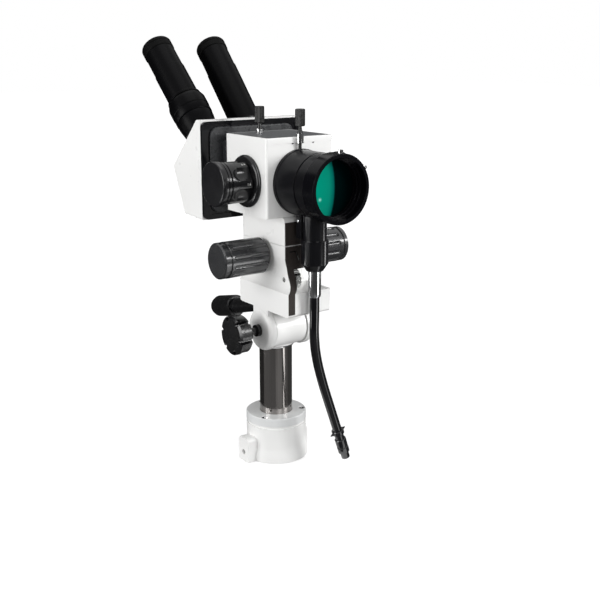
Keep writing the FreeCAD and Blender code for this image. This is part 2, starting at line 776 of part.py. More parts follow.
def fluted_knob():
    """The right focus knob: a fluted sleeve with a capped outer end."""
    length = focus_knob_len
    cap_start = length - focus_knob_cap
    knob = turned([(0, 0), (0, focus_knob_r - focus_knob_chamfer), (focus_knob_chamfer, focus_knob_r),
                   (cap_start - 2.4, focus_knob_r), (cap_start - 1.8, focus_knob_r - 1.2),
                   (cap_start, focus_knob_r - 1.2), (cap_start + 0.4, focus_knob_r - 0.2),
                   (length - 1.2, focus_knob_r - 0.2), (length, focus_knob_r - 1.6), (length, 0)],
                  AXIS_X, V(focus_knob_in, focus_y, focus_z))
    flute_start = focus_knob_in + focus_knob_chamfer + 1.5
    flute_end = focus_knob_in + cap_start - 7.0
    flute_y = focus_y + focus_knob_r + 1.0
    flute = rod_x(focus_knob_flute_r, flute_start, flute_end, flute_y, focus_z)
    flute = flute.fuse(Part.makeSphere(focus_knob_flute_r, V(flute_end, flute_y, focus_z)))
    flute = flute.fuse(Part.makeSphere(focus_knob_flute_r, V(flute_start, flute_y, focus_z)))
    for cutter in around(flute, focus_knob_flutes, AXIS_X, V(0, focus_y, focus_z), 15.0):
        knob = knob.cut(cutter)
    bore = rod_x(focus_shaft_r, focus_knob_in - 1, focus_knob_out - focus_knob_cap - focus_shaft_sink, focus_y, focus_z)
    return knob.cut(bore)


def focus_drive(parts):
    """Cross shaft with the pinion and the two fluted knobs."""
    reach = focus_knob_out - focus_knob_cap - focus_shaft_sink
    shaft = rod_x(focus_shaft_r, -reach, reach, focus_y, focus_z)
    pinion = pinion_shape()
    parts["focus_pinion"] = pinion.cut(rod_x(focus_shaft_r, -gear_half - 1, gear_half + 1, focus_y, focus_z))
    parts["focus_shaft"] = shaft
    knob = fluted_knob()
    parts["focus_knob_right"] = knob
    parts["focus_knob_left"] = mirrored_x(knob)


def slider(parts):
    """White slider under the body, its dovetail tongue and its dark front cover."""
    low = column_split + face_gap
    block = box(-column_half, column_half, column_front, column_rear, low, slider_top)
    tongue = dovetail(dovetail_top_half, dovetail_bottom_half, low + 1, tongue_bottom, tongue_front, column_rear)
    rack, rack_start, rack_end = rack_shape()
    slot = box(-rack_half, rack_half, rack_start, rack_end, tongue_bottom - 1, tongue_bottom + rack_back)
    block = joined(block, tongue).cut(slot)
    block = round_edges(block, slider_round, AXIS_X,
                        lambda place: place.z > slider_top - 1 and place.y < column_front + 1)
    parts["slider_block"] = block
    parts["focus_rack"] = rack
    parts["slider_cover"] = box(-column_half + cover_edge, column_half - cover_edge, column_front - cover_t,
                                column_front, low + cover_edge, slider_top - slider_round)


def body(parts):
    """White body box with its lid, open at the front to the objective and at the back to the binocular."""
    shell = box(-body_half, body_half, body_front, body_rear, slider_top, body_top)
    shell = round_edges(shell, body_edge, AXIS_Z)
    room = box(-body_half + body_wall, body_half - body_wall, body_front + body_wall, body_rear - body_wall,
               slider_top + body_wall, body_top + 1)
    ways = [room, rod_y(objective_bore_r - 3.0, body_front - 1, 0, 0, optic_z),
            rod_x(changer_bush_r, -body_half - 1, body_half + 1, changer_y, optic_z)]
    for side in (-1, 1):
        ways.append(rod_y(beam_r + 1.5, 0, body_rear + 1, side * beam_x, optic_z))
    rear_slot = rod_z(rod_r + 0.3, body_top - 20, lid_top + 1, rear_rod_x, rear_rod_y)
    front_way = rod_z(rod_nut_r + 0.2, slider_top + 60, lid_top + 1, front_rod_x, front_rod_y)
    parts["body_housing"] = bored(shell, *ways)

    lid_front = body_front - lid_over
    lid = box(-body_half, body_half, lid_front, body_rear, body_top, lid_top)
    lid = round_edges(lid, body_edge, AXIS_Z)
    top_rim = [edge for edge in lid.Edges if abs(edge.BoundBox.ZMin - lid_top) < 0.01]
    lid = lid.makeFillet(0.8, top_rim)
    under = box(-body_half + body_wall, body_half - body_wall, body_front + body_wall, body_rear - body_wall,
                body_top - 1, lid_top - lid_skin)
    inset = box(-body_half + lid_plate_inset, body_half - lid_plate_inset, lid_front + lid_plate_inset,
                body_rear - lid_plate_inset, lid_top - lid_plate_t, lid_top + 1)
    inset = round_edges(inset, 1.5, AXIS_Z)
    sleeve_way = rod_z(front_sleeve_r, body_top - 1, lid_top + 1, front_rod_x, front_rod_y)
    parts["body_lid"] = bored(lid, under, inset, rear_slot, sleeve_way)
    top_plate = inset.common(box(-60, 60, -60, 60, lid_top - lid_plate_t, lid_top))
    parts["lid_plate"] = bored(top_plate, rear_slot, front_way)

    nut = turned([(lid_top, 0), (lid_top, rod_nut_r), (lid_top + 0.8, rod_nut_r), (lid_top + 1.2, rod_nut_r - 0.7),
                  (lid_top + 2.6, rod_nut_r - 0.7), (lid_top + 3.0, rod_nut_r), (lid_top + rod_nut_h, rod_nut_r),
                  (lid_top + rod_nut_h, 0)], AXIS_Z, V(rear_rod_x, rear_rod_y, 0))
    nut = bored(nut, rod_z(rod_r + fit_gap, lid_top - 1, lid_top + rod_nut_h + 1, rear_rod_x, rear_rod_y))
    sleeve = bored(rod_z(front_sleeve_r, body_top, lid_top + front_sleeve_h, front_rod_x, front_rod_y),
                   rod_z(rod_r + fit_gap, body_top - 1, lid_top + 4, front_rod_x, front_rod_y),
                   box(front_rod_x + 1.9, front_rod_x + 5, front_rod_y - 5, front_rod_y + 5, body_top + 1,
                       lid_top + 1.2))
    parts["filter_guides"] = Part.makeCompound([nut, sleeve])


def changer(parts):
    """Drum with four telescopes' lenses that turns across the body, and its two knobs."""
    flange = turned([(-body_wall, 0), (-body_wall, changer_bush_r), (0, changer_bush_r), (0, changer_flange_r),
                     (1.7, changer_flange_r), (2.2, changer_flange_r - 0.9), (2.7, changer_flange_r - 0.9),
                     (3.0, changer_flange_r - 0.5), (changer_flange_t - 0.6, changer_flange_r - 1.6),
                     (changer_flange_t, changer_flange_r - 3.7),
                     (changer_flange_t, 0)], AXIS_X, V(body_half, changer_y, optic_z))
    flange = bored(flange, rod_x(changer_shaft_r + fit_gap, body_half - 10, body_half + 10, changer_y, optic_z))
    parts["changer_flanges"] = Part.makeCompound([flange, mirrored_x(flange)])

    drum = rod_x(drum_r, -drum_half, drum_half, changer_y, optic_z)
    drum = bored(drum, rod_x(drum_r - drum_wall, -drum_half + drum_end_t, drum_half - drum_end_t, changer_y, optic_z))
    reach = changer_hub_end - changer_shaft_sink
    for side in (-1, 1):
        stub = rod_x(changer_shaft_r, drum_half - drum_end_t, reach, changer_y, optic_z)
        drum = drum.fuse(stub if side > 0 else mirrored_x(stub))
    centre = V(0, changer_y, optic_z)
    lenses = []
    for x in (-beam_x, beam_x):
        way = rod_y(beam_r, changer_y - drum_r - 1, changer_y + drum_r + 1, x, optic_z)
        drum = drum.cut(way)
        for angle in (60.0, 120.0):
            turned_way = way.copy()
            turned_way.rotate(centre, AXIS_X, angle)
            drum = drum.cut(turned_way)
            for flip in (0.0, 180.0):
                bulge = 1.0 if flip else 0.6
                glass = lens(beam_r, lens_t, bulge, AXIS_Y, V(x, changer_y + drum_r - drum_wall, optic_z))
                glass.rotate(centre, AXIS_X, angle + flip)
                lenses.append(glass)
    parts["changer_drum"] = drum.removeSplitter()
    parts["changer_lenses"] = Part.makeCompound(lenses)

    hub_len = changer_hub_len
    length = hub_len + changer_cap_len
    hub = turned([(0, 0), (0, changer_hub_r - 3.0), (2.0, changer_hub_r), (hub_len, changer_hub_r),
                  (hub_len + 0.5, changer_hub_r - 1.4), (hub_len + 1.5, changer_hub_r - 1.4),
                  (hub_len + 1.9, changer_cap_r - 0.6), (hub_len + 4.2, changer_cap_r - 0.6),
                  (hub_len + 4.5, changer_cap_r - 1.3), (hub_len + 5.1, changer_cap_r - 1.3),
                  (hub_len + 5.4, changer_cap_r), (length - 1.2, changer_cap_r), (length, changer_cap_r - 1.2),
                  (length, 0)], AXIS_X, V(changer_knob_in, changer_y, optic_z))
    scallop_y = changer_y + changer_hub_r + changer_scallop_r - 3.6
    scallop = rod_x(changer_scallop_r, changer_knob_in - 1, changer_hub_end - 7.0, scallop_y, optic_z)
    scallop = scallop.fuse(Part.makeSphere(changer_scallop_r, V(changer_hub_end - 7.0, scallop_y, optic_z)))
    limit = rod_x(changer_hub_r + 20, changer_knob_in - 2, changer_hub_end - 1.2, changer_y, optic_z)
    for cutter in around(scallop.common(limit), changer_scallops, AXIS_X, centre, 0.0):
        hub = hub.cut(cutter)
    hub = bored(hub, rod_x(changer_shaft_r, changer_knob_in - 1, reach, changer_y, optic_z))
    parts["changer_knobs"] = Part.makeCompound([hub, mirrored_x(hub)])


def filter_frame(rod_y_place, plate_z):
    """Two joined rings that carry the filter glasses, with the glasses."""
    rings = []
    glasses = []
    for side in (-1, 1):
        ring = rod_y(filter_disc_r, rod_y_place - filter_t / 2, rod_y_place + filter_t / 2, side * beam_x, plate_z)
        hole = rod_y(filter_window_r, rod_y_place - filter_t, rod_y_place + filter_t, side * beam_x, plate_z)
        rings.append(ring)
        glasses.append(hole)
    bridge = box(-beam_x, beam_x, rod_y_place - filter_t / 2, rod_y_place + filter_t / 2, plate_z - 1.5,
                 plate_z + 5.0)
    frame = joined(rings[0], rings[1], bridge)
    frame = bored(frame, *glasses)
    panes = [glass.common(box(-40, 40, rod_y_place - 0.5, rod_y_place + 0.5, plate_z - 20, plate_z + 20))
             for glass in glasses]
    return frame, Part.makeCompound(panes)


def filter_rod(x, y, plate_z, stem_low, cone_low):
    """A pull rod: knurled knob, cone, thin rod and the filter frame on its lower end."""
    frame, panes = filter_frame(y, plate_z)
    stem = rod_z(rod_r, plate_z + stem_low, rod_stem_top, x, y)
    cone = turned([(cone_low, 0), (cone_low, rod_r + 1.0), (rod_stem_top - 0.8, rod_r), (rod_stem_top - 0.8, 0)],
                  AXIS_Z, V(x, y, 0))
    knob = turned([(rod_stem_top, 0), (rod_stem_top, rod_knob_r - 0.6), (rod_stem_top + 0.6, rod_knob_r),
                   (rod_stem_top + rod_knob_h - 0.6, rod_knob_r), (rod_stem_top + rod_knob_h, rod_knob_r - 0.6),
                   (rod_stem_top + rod_knob_h, 0)], AXIS_Z, V(x, y, 0))
    return joined(frame, stem, cone, knob), panes


def filters(parts):
    """Two pull rods through the lid, each with a pair of green filters."""
    rod, panes = filter_rod(rear_rod_x, rear_rod_y, optic_z, 7.6, lid_top + rod_nut_h + 0.4)
    parts["filter_rod_rear"] = rod
    parts["filter_glass_rear"] = panes
    rod, panes = filter_rod(front_rod_x, front_rod_y, optic_z, 3.5, lid_top + front_sleeve_h + 0.4)
    parts["filter_rod_front"] = rod
    parts["filter_glass_front"] = panes


def objective(parts):
    """Black objective barrel and front ring around the coated lens."""
    centre = V(0, 0, optic_z)
    seat = objective_ring_back
    lens_back = seat + objective_lens_t + 0.3
    barrel = turned([(-body_front, 25.4), (-body_front, objective_rear_r),
                     (-body_front + objective_rear_len, objective_rear_r),
                     (-body_front + objective_rear_len + 0.8, objective_barrel_r),
                     (-objective_groove_y - 0.8, objective_barrel_r - 0.3), (-objective_groove_y - 0.5, objective_nose_r - 0.6),
                     (-objective_groove_y + 0.5, objective_nose_r - 0.6), (-objective_groove_y + 0.8, objective_nose_r),
                     (-seat, objective_nose_r), (-seat, objective_lens_r), (-lens_back, objective_lens_r),
                     (-lens_back, objective_lens_r - 2.0), (-lens_back - 3.0, objective_lens_r - 2.0),
                     (-lens_back - 3.0, objective_bore_r), (-body_front + 2.0, objective_bore_r),
                     (-body_front + 2.0, 25.4)], -AXIS_Y, centre)
    rod_way = rod_z(rod_r + 0.3, optic_z, optic_z + 50, front_rod_x, front_rod_y)
    room = rod_y(objective_bore_r, front_rod_y - 2.2, front_rod_y + 1.6, 0, optic_z)
    light_way = rod_z(port_light_r, optic_z - 40, optic_z, 0, port_y)
    parts["objective_barrel"] = bored(barrel, rod_way, room, light_way)

    ring = turned([(-seat, objective_lens_r - 1.0), (-seat, objective_ring_r - 0.5),
                   (-seat + 0.5, objective_ring_r), (-objective_front - 0.5, objective_ring_r),
                   (-objective_front, objective_ring_r - 0.5), (-objective_front, objective_mouth_r),
                   (-objective_front - objective_mouth_depth, objective_mouth_r),
                   (-objective_front - objective_mouth_depth, objective_mouth_r - 1.4),
                   (-objective_front - objective_mouth_depth - 3.4, objective_mouth_r - 1.4),
                   (-objective_front - objective_mouth_depth - 3.4, objective_mouth_r - 2.8),
                   (-seat + 2.2, objective_mouth_r - 2.8), (-seat + 2.2, objective_lens_r - 1.0)],
                  -AXIS_Y, centre)
    screw_y = objective_front + objective_mouth_depth / 2
    screws = []
    for angle in ring_lug_angles:
        shank = rod_z(1.5, optic_z + objective_mouth_r + 0.1, optic_z + objective_ring_r + 0.6, 0, screw_y)
        head = rod_z(2.4, optic_z + objective_ring_r + 0.1, optic_z + objective_ring_r + 3.0, 0, screw_y)
        screw = joined(shank, head)
        way = rod_z(1.5, optic_z, optic_z + objective_ring_r + 1, 0, screw_y)
        for piece in (screw, way):
            piece.rotate(centre, AXIS_Y, angle)
        ring = ring.cut(way)
        screws.append(screw)
    parts["objective_ring"] = ring
    parts["objective_screws"] = Part.makeCompound(screws)
    glass = lens(objective_lens_r, objective_lens_t, objective_lens_bulge, -AXIS_Y, V(0, lens_back, optic_z))
    parts["objective_lens"] = glass


def light_port(parts):
    """Black light port under the objective, with its bracket and the chrome ferrule of the light guide."""
    groove_top = port_collar_bottom + port_collar_groove
    tube = turned([(port_nose_bottom, 0), (port_nose_bottom, port_nose_r),
                   (port_collar_bottom, port_collar_r - port_collar_groove),
                   (groove_top, port_collar_r - port_collar_groove), (groove_top, port_collar_r),
                   (port_tube_bottom - 0.5, port_collar_r), (port_tube_bottom, port_collar_r - 0.5),
                   (port_tube_bottom, port_tube_r), (optic_z, port_tube_r), (optic_z, 0)],
                  AXIS_Z, V(0, port_y, 0))
    bracket = box(-port_bracket_half, port_bracket_half, port_bracket_y0, port_bracket_y1, port_bracket_bottom,
                  optic_z)
    bracket = round_edges(bracket, 2.5, AXIS_Z, lambda place: place.y > port_bracket_y1 - 1)
    shape = joined(tube, bracket)
    clearance = rod_y(objective_barrel_r, objective_front, body_rear, 0, optic_z)
    shape = bored(shape, clearance, rod_z(ferrule_r, port_nose_bottom - 1, ferrule_seat, 0, port_y),
                  rod_z(port_light_r, ferrule_seat - 1, optic_z, 0, port_y))
    parts["light_port"] = shape
    ferrule = turned([(ferrule_bottom, 0), (ferrule_bottom, ferrule_r - 0.8), (ferrule_bottom + 1.0, ferrule_r - 0.3),
                      (ferrule_bottom + 3.0, ferrule_r), (ferrule_seat, ferrule_r), (ferrule_seat, 0)],
                     AXIS_Z, V(0, port_y, 0))
    parts["guide_ferrule"] = ferrule


def hose(parts):
    """The light guide's hose with its clip, and the coupling on its far end."""
    edges = []
    start = hose_points[0]
    for index in range(1, len(hose_points) - 1):
        before, corner, after = hose_points[index - 1], hose_points[index], hose_points[index + 1]
        back = (before - corner)
        ahead = (after - corner)
        shorter = min(back.Length, ahead.Length)
        turn = math.pi - back.getAngle(ahead)
        cut_length = 0.45 * shorter
        radius = cut_length / math.tan(turn / 2)
        print("hose corner %d radius %.0f" % (index, radius))
        back.normalize()
        ahead.normalize()
        arc_start = corner + back * cut_length
        arc_end = corner + ahead * cut_length
        towards = (back + ahead).normalize()
        centre_gap = math.hypot(radius, cut_length)
        middle = corner + towards * (centre_gap - radius)
        edges.append(Part.LineSegment(start, arc_start).toShape())
        edges.append(Part.Arc(arc_start, middle, arc_end).toShape())
        start = arc_end
    end = hose_points[-1]
    edges.append(Part.LineSegment(start, end).toShape())
    path = Part.Wire(edges)
    way = (hose_points[1] - hose_points[0]).normalize()
    section = Part.Wire([Part.makeCircle(hose_r, hose_points[0], way)])
    tube = path.makePipeShell([section], True, False)
    print("hose volume", round(tube.Volume, 1), "of", round(math.pi * hose_r ** 2 * path.Length, 1),
          "length", round(path.Length, 1))
    parts["light_hose"] = tube

    last = (hose_points[-1] - hose_points[-2]).normalize()
    clip_start = end - last * hose_clip_back
    clip = turned([(0, 0), (0, hose_clip_r - 0.6), (0.6, hose_clip_r), (hose_clip_len - 0.6, hose_clip_r),
                   (hose_clip_len, hose_clip_r - 0.6), (hose_clip_len, 0)], last, clip_start)
    across = last.cross(AXIS_Y).normalize()
    middle = clip_start + last * (hose_clip_len / 2)
    for side in (-1, 1):
        ear_start = middle + across * (side * (hose_clip_r - 1.6))
        ear = Part.makeCone(2.3, 0.4, hose_clip_ear + 1.6, ear_start, across * side)
        clip = clip.fuse(ear)
    clip = clip.cut(Part.makeCylinder(hose_r, hose_clip_len + 2, clip_start - last, last))
    parts["hose_clip"] = clip.removeSplitter()
    parts["hose_coupling"] = turned([(0, 0), (0, coupling_r - 0.7), (0.7, coupling_r), (8.0, coupling_r),
                                     (8.6, coupling_r - 0.8), (10.0, coupling_r - 0.8), (10.6, coupling_r),
                                     (16.5, coupling_r), (17.2, coupling_tip_r), (coupling_len, coupling_tip_r),
                                     (coupling_len, 0)], last, end)


def rear_frame(parts):
    """Black frame behind the body with its raised panel, which joins the body to the binocular."""
    back = frame_front + frame_t
    frame = box(-frame_half, frame_half, frame_front, back, frame_low, frame_high)
    frame = round_edges(frame, frame_corner, AXIS_Y)
    recess = box(-frame_half + frame_rim, frame_half - frame_rim, frame_front - 1, frame_front + frame_recess,
                 frame_low + frame_rim, frame_high - frame_rim)
    recess = round_edges(recess, frame_corner - 2, AXIS_Y)
    floor = frame_front + frame_recess
    panel = box(-panel_half, panel_half, frame_front - panel_proud, floor, frame_low + panel_low_edge,
                frame_high - panel_high_edge)
    panel = round_edges(panel, panel_corner, AXIS_Y)
    front_rim = [edge for edge in panel.Edges if abs(edge.BoundBox.YMax - frame_front + panel_proud) < 0.01]
    panel = panel.makeFillet(1.2, front_rim)
    bridge = box(-bridge_half, bridge_half, body_rear, floor, optic_z - bridge_drop, optic_z + bridge_rise)
    bridge = round_edges(bridge, bridge_round, AXIS_Y)
    ways = [rod_y(beam_r + 1.5, body_rear - 1, back + 1, side * beam_x, optic_z) for side in (-1, 1)]
    parts["rear_frame"] = bored(frame, recess, *ways)
    parts["frame_panel"] = bored(joined(panel, bridge), *ways)


def binocular(parts):
    """White hollow binocular housing with the two prisms, and slots under the eyepiece tubes."""
    front = frame_front + frame_t
    outline = [V(-frame_half, front, housing_bottom), V(-frame_half, front, housing_top),
               V(-frame_half, slope_top_y, housing_top), V(-frame_half, slope_low_y, slope_sum - slope_low_y),
               V(-frame_half, housing_low_y, housing_bottom + 2.0)]
    solid = plate(outline, AXIS_X, 2 * frame_half)
    solid = round_edges(solid, 3.0, AXIS_X, lambda place: place.y > front + 1)
    sides = [edge for edge in solid.Edges
             if abs(abs(edge.CenterOfMass.x) - frame_half) < 0.01 and edge.BoundBox.YMax > front + 0.5]
    solid = solid.makeFillet(1.2, sides)
    wall = housing_wall
    slant = wall * math.sqrt(2)
    inner = [V(-frame_half + wall, front - 1, housing_bottom + wall),
             V(-frame_half + wall, front - 1, housing_top - wall),
             V(-frame_half + wall, slope_top_y - slant + wall, housing_top - wall),
             V(-frame_half + wall, slope_low_y - slant - 1.5, slope_sum - slope_low_y + 1.5),
             V(-frame_half + wall, housing_low_y - wall, housing_bottom + wall + 1.6)]
    room = plate(inner, AXIS_X, 2 * (frame_half - wall))
    shell = solid.cut(room)
    slot_len = ipd_inward + ipd_outward
    for side in (-1, 1):
        slot = rod_z(tube_stub_r + 0.4, -12.0, 6.0, side * ipd_outward)
        far = rod_z(tube_stub_r + 0.4, -12.0, 6.0, -side * ipd_inward)
        middle = box(-side * ipd_inward if side > 0 else -ipd_outward,
                     ipd_outward if side > 0 else ipd_inward,
                     -tube_stub_r - 0.4, tube_stub_r + 0.4, -12.0, 6.0)
        shell = shell.cut(on_slope(joined(slot, far, middle), side))
    parts["binocular_housing"] = shell.removeSplitter()

    prisms = []
    half = prism_size / 2
    reach = tube_x - beam_x
    for side in (-1, 1):
        corners = [V(beam_x - half, front, optic_z - half), V(beam_x + half, front, optic_z - half),
                   V(beam_x + half + reach, front, optic_z + half), V(beam_x - half + reach, front, optic_z + half)]
        prism = plate(corners, AXIS_Y, prism_depth)
        prisms.append(prism if side > 0 else mirrored_x(prism))
    parts["binocular_prisms"] = Part.makeCompound(prisms)


def tube_base(side):
    """The sliding plate of an eyepiece tube, flat on the sloped face, with its stub in the slot."""
    lift = 0.1
    base = box(-tube_plate_half, tube_plate_half, -tube_plate_half, tube_plate_half, lift, lift + tube_plate_t)
    base = round_edges(base, 6.0, AXIS_Z)
    stub = rod_z(tube_stub_r, -housing_wall, lift + 1)
    return on_slope(joined(base, stub), side)


def eyepieces(parts):
    """Both eyepiece tubes, the diopter ring on the left one, the eyepieces, eyecups and eye lenses."""
    start = 1.0
    left = turned([(start, 0), (start, tube_neck_low_r), (tube_neck_end - 4.0, tube_neck_high_r),
                   (tube_neck_end, tube_neck_high_r), (tube_neck_end, tube_inner_r),
                   (tube_inner_end, tube_inner_r), (tube_inner_end, 0)])
    bore = rod_z(tube_bore_r, -20, tube_inner_end + 1)
    left = on_slope(left, -1, toe_angle).fuse(tube_base(-1))
    parts["tube_left"] = left.cut(on_slope(bore, -1, toe_angle)).removeSplitter()
    right = turned([(start, 0), (start, tube_neck_low_r), (21.0, tube_r), (eyepiece_start, tube_r),
                    (eyepiece_start, 0)])
    bore = rod_z(tube_bore_r, -20, eyepiece_start + 1)
    right = on_slope(right, 1, toe_angle).fuse(tube_base(1))
    parts["tube_right"] = right.cut(on_slope(bore, 1, toe_angle)).removeSplitter()

    ring_low = tube_neck_end + face_gap
    ring = turned([(ring_low, tube_inner_r + fit_gap), (ring_low, diopter_r - 1.0), (ring_low + 1.0, diopter_r - 0.4),
                   (ring_low + 9.0, diopter_r - 0.4), (ring_low + 9.4, diopter_r), (diopter_end - 8.0, diopter_r),
                   (diopter_end - 5.6, diopter_r - 0.7), (diopter_end - 3.8, diopter_r - 2.0),
                   (diopter_end - 3.2, diopter_r - 2.8), (diopter_end - 2.8, diopter_r - 2.0),
                   (diopter_end - 0.5, diopter_r - 2.0), (diopter_end, diopter_r - 2.5),
                   (diopter_end, tube_r + fit_gap), (diopter_step, tube_r + fit_gap),
                   (diopter_step, tube_inner_r + fit_gap)])
    parts["diopter_ring"] = on_slope(ring, -1, toe_angle)

    sleeve = turned([(sleeve_start, tube_inner_r + fit_gap), (sleeve_start, tube_r),
                     (eyepiece_start - 0.4, tube_r), (eyepiece_start, tube_r - 0.4),
                     (eyepiece_start, eyepiece_r), (eyepiece_end, eyepiece_r), (eyepiece_end, eye_lens_r),
                     (eye_lens_z, eye_lens_r), (eye_lens_z, tube_bore_r - 1.0),
                     (tube_inner_end + 6.0, tube_bore_r - 1.0), (tube_inner_end + 6.0, tube_inner_r + fit_gap)])
    parts["eyepiece_left"] = on_slope(sleeve, -1, toe_angle)
    insert = turned([(eyepiece_start - 26.0, tube_bore_r - 1.0), (eyepiece_start - 26.0, tube_bore_r),
                     (eyepiece_start, tube_bore_r), (eyepiece_start, eyepiece_r), (eyepiece_end, eyepiece_r),
                     (eyepiece_end, eye_lens_r), (eye_lens_z, eye_lens_r), (eye_lens_z, tube_bore_r - 1.0)])
    parts["eyepiece_right"] = on_slope(insert, 1, toe_angle)
    lip = eyecup_end - eyecup_lip
    cup = turned([(eyepiece_end, eye_lens_r), (eyepiece_end, eyecup_r - 0.5), (eyepiece_end + 0.7, eyecup_r),
                  (lip - 0.5, eyecup_r), (lip, eyecup_r - 0.5), (lip + 0.5, eyecup_r), (eyecup_end - 2.0, eyecup_r),
                  (eyecup_end - 0.5, eyecup_r - 0.7), (eyecup_end, eyecup_r - 2.0),
                  (eyecup_end - 0.4, eyecup_r - 3.0), (eyepiece_end + 1.0, eye_lens_r)])
    glass = lens(eye_lens_r, 2.6, 1.4, AXIS_Z, V(0, 0, eye_lens_z))
    for side, name in ((-1, "left"), (1, "right")):
        parts["eyecup_" + name] = on_slope(cup, side, toe_angle)
        holder = Part.makeCompound([glass])
        parts["eye_lens_" + name] = on_slope(holder, side, toe_angle)


def main():
    parts = {}
    for make in (stand_head, post, column_foot, tilt_clamp, handle, focus_housing, focus_drive, slider, body,
                 changer, filters, objective, light_port, hose, rear_frame, binocular, eyepieces):
        make(parts)
    os.makedirs("parts", exist_ok=True)
    for name, shape in parts.items():
        shape.exportStep("parts/" + name + ".step")


main()
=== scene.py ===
import math

import bmesh
import bpy
from mathutils import Matrix, Vector


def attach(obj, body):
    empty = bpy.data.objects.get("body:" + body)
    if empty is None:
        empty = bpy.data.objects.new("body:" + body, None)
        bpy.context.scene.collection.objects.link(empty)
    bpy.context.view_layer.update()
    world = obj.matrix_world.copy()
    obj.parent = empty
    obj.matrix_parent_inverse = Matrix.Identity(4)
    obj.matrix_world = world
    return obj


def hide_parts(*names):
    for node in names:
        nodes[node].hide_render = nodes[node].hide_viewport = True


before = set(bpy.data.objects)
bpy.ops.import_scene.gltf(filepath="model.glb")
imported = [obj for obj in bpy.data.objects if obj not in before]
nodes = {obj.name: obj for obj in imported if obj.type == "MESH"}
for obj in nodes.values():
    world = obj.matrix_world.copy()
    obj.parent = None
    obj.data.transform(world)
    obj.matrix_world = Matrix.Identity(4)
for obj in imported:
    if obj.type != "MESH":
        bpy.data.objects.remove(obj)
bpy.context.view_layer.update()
scene = bpy.context.scene
scene.view_settings.view_transform = "Standard"


# Camera and cord first
camera_place = (-0.52382, -0.76772, 0.41972)
camera_drop = 15.16     # degrees below level
camera_turn = -35.87    # degrees about the upright axis, negative to the right
camera_lens = 56.16


def add_camera():
    data = bpy.data.cameras.new("camera")
    data.lens = camera_lens
    data.sensor_width = 36.0
    data.clip_start = 0.05
    data.clip_end = 20.0
    camera = bpy.data.objects.new("camera", data)
    scene.collection.objects.link(camera)
    camera.location = camera_place
    camera.rotation_mode = "XYZ"
    camera.rotation_euler = (math.radians(90 - camera_drop), 0, math.radians(camera_turn))
    scene.camera = camera


add_camera()

# The hose's route, as in the part's source
port_y = -0.0673
hose_radius = 0.00475
hose_route = (
    (0.0, port_y, 0.186),
    (0.0, port_y, 0.168),
    (-0.0006, port_y, 0.148),
    (0.0022, port_y, 0.124),
    (0.0104, port_y, 0.095),
    (0.0218, port_y, 0.063),
    (0.0334, port_y, 0.030),
)


def add_hose():
    data = bpy.data.curves.new("guide_hose", "CURVE")
    data.dimensions = "3D"
    data.resolution_u = 24
    data.bevel_depth = 1.0
    data.bevel_resolution = 8
    data.use_fill_caps = True
    spline = data.splines.new("NURBS")
    spline.points.add(len(hose_route) - 1)
    for point, place in zip(spline.points, hose_route):
        point.co = (*place, 1.0)
        point.radius = hose_radius
    spline.order_u = 3
    spline.use_endpoint_u = True
    hose = bpy.data.objects.new("guide_hose", data)
    scene.collection.objects.link(hose)
    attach(hose, "optics_head")
    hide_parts("light_hose")
    return hose


hose = add_hose()


# Materials


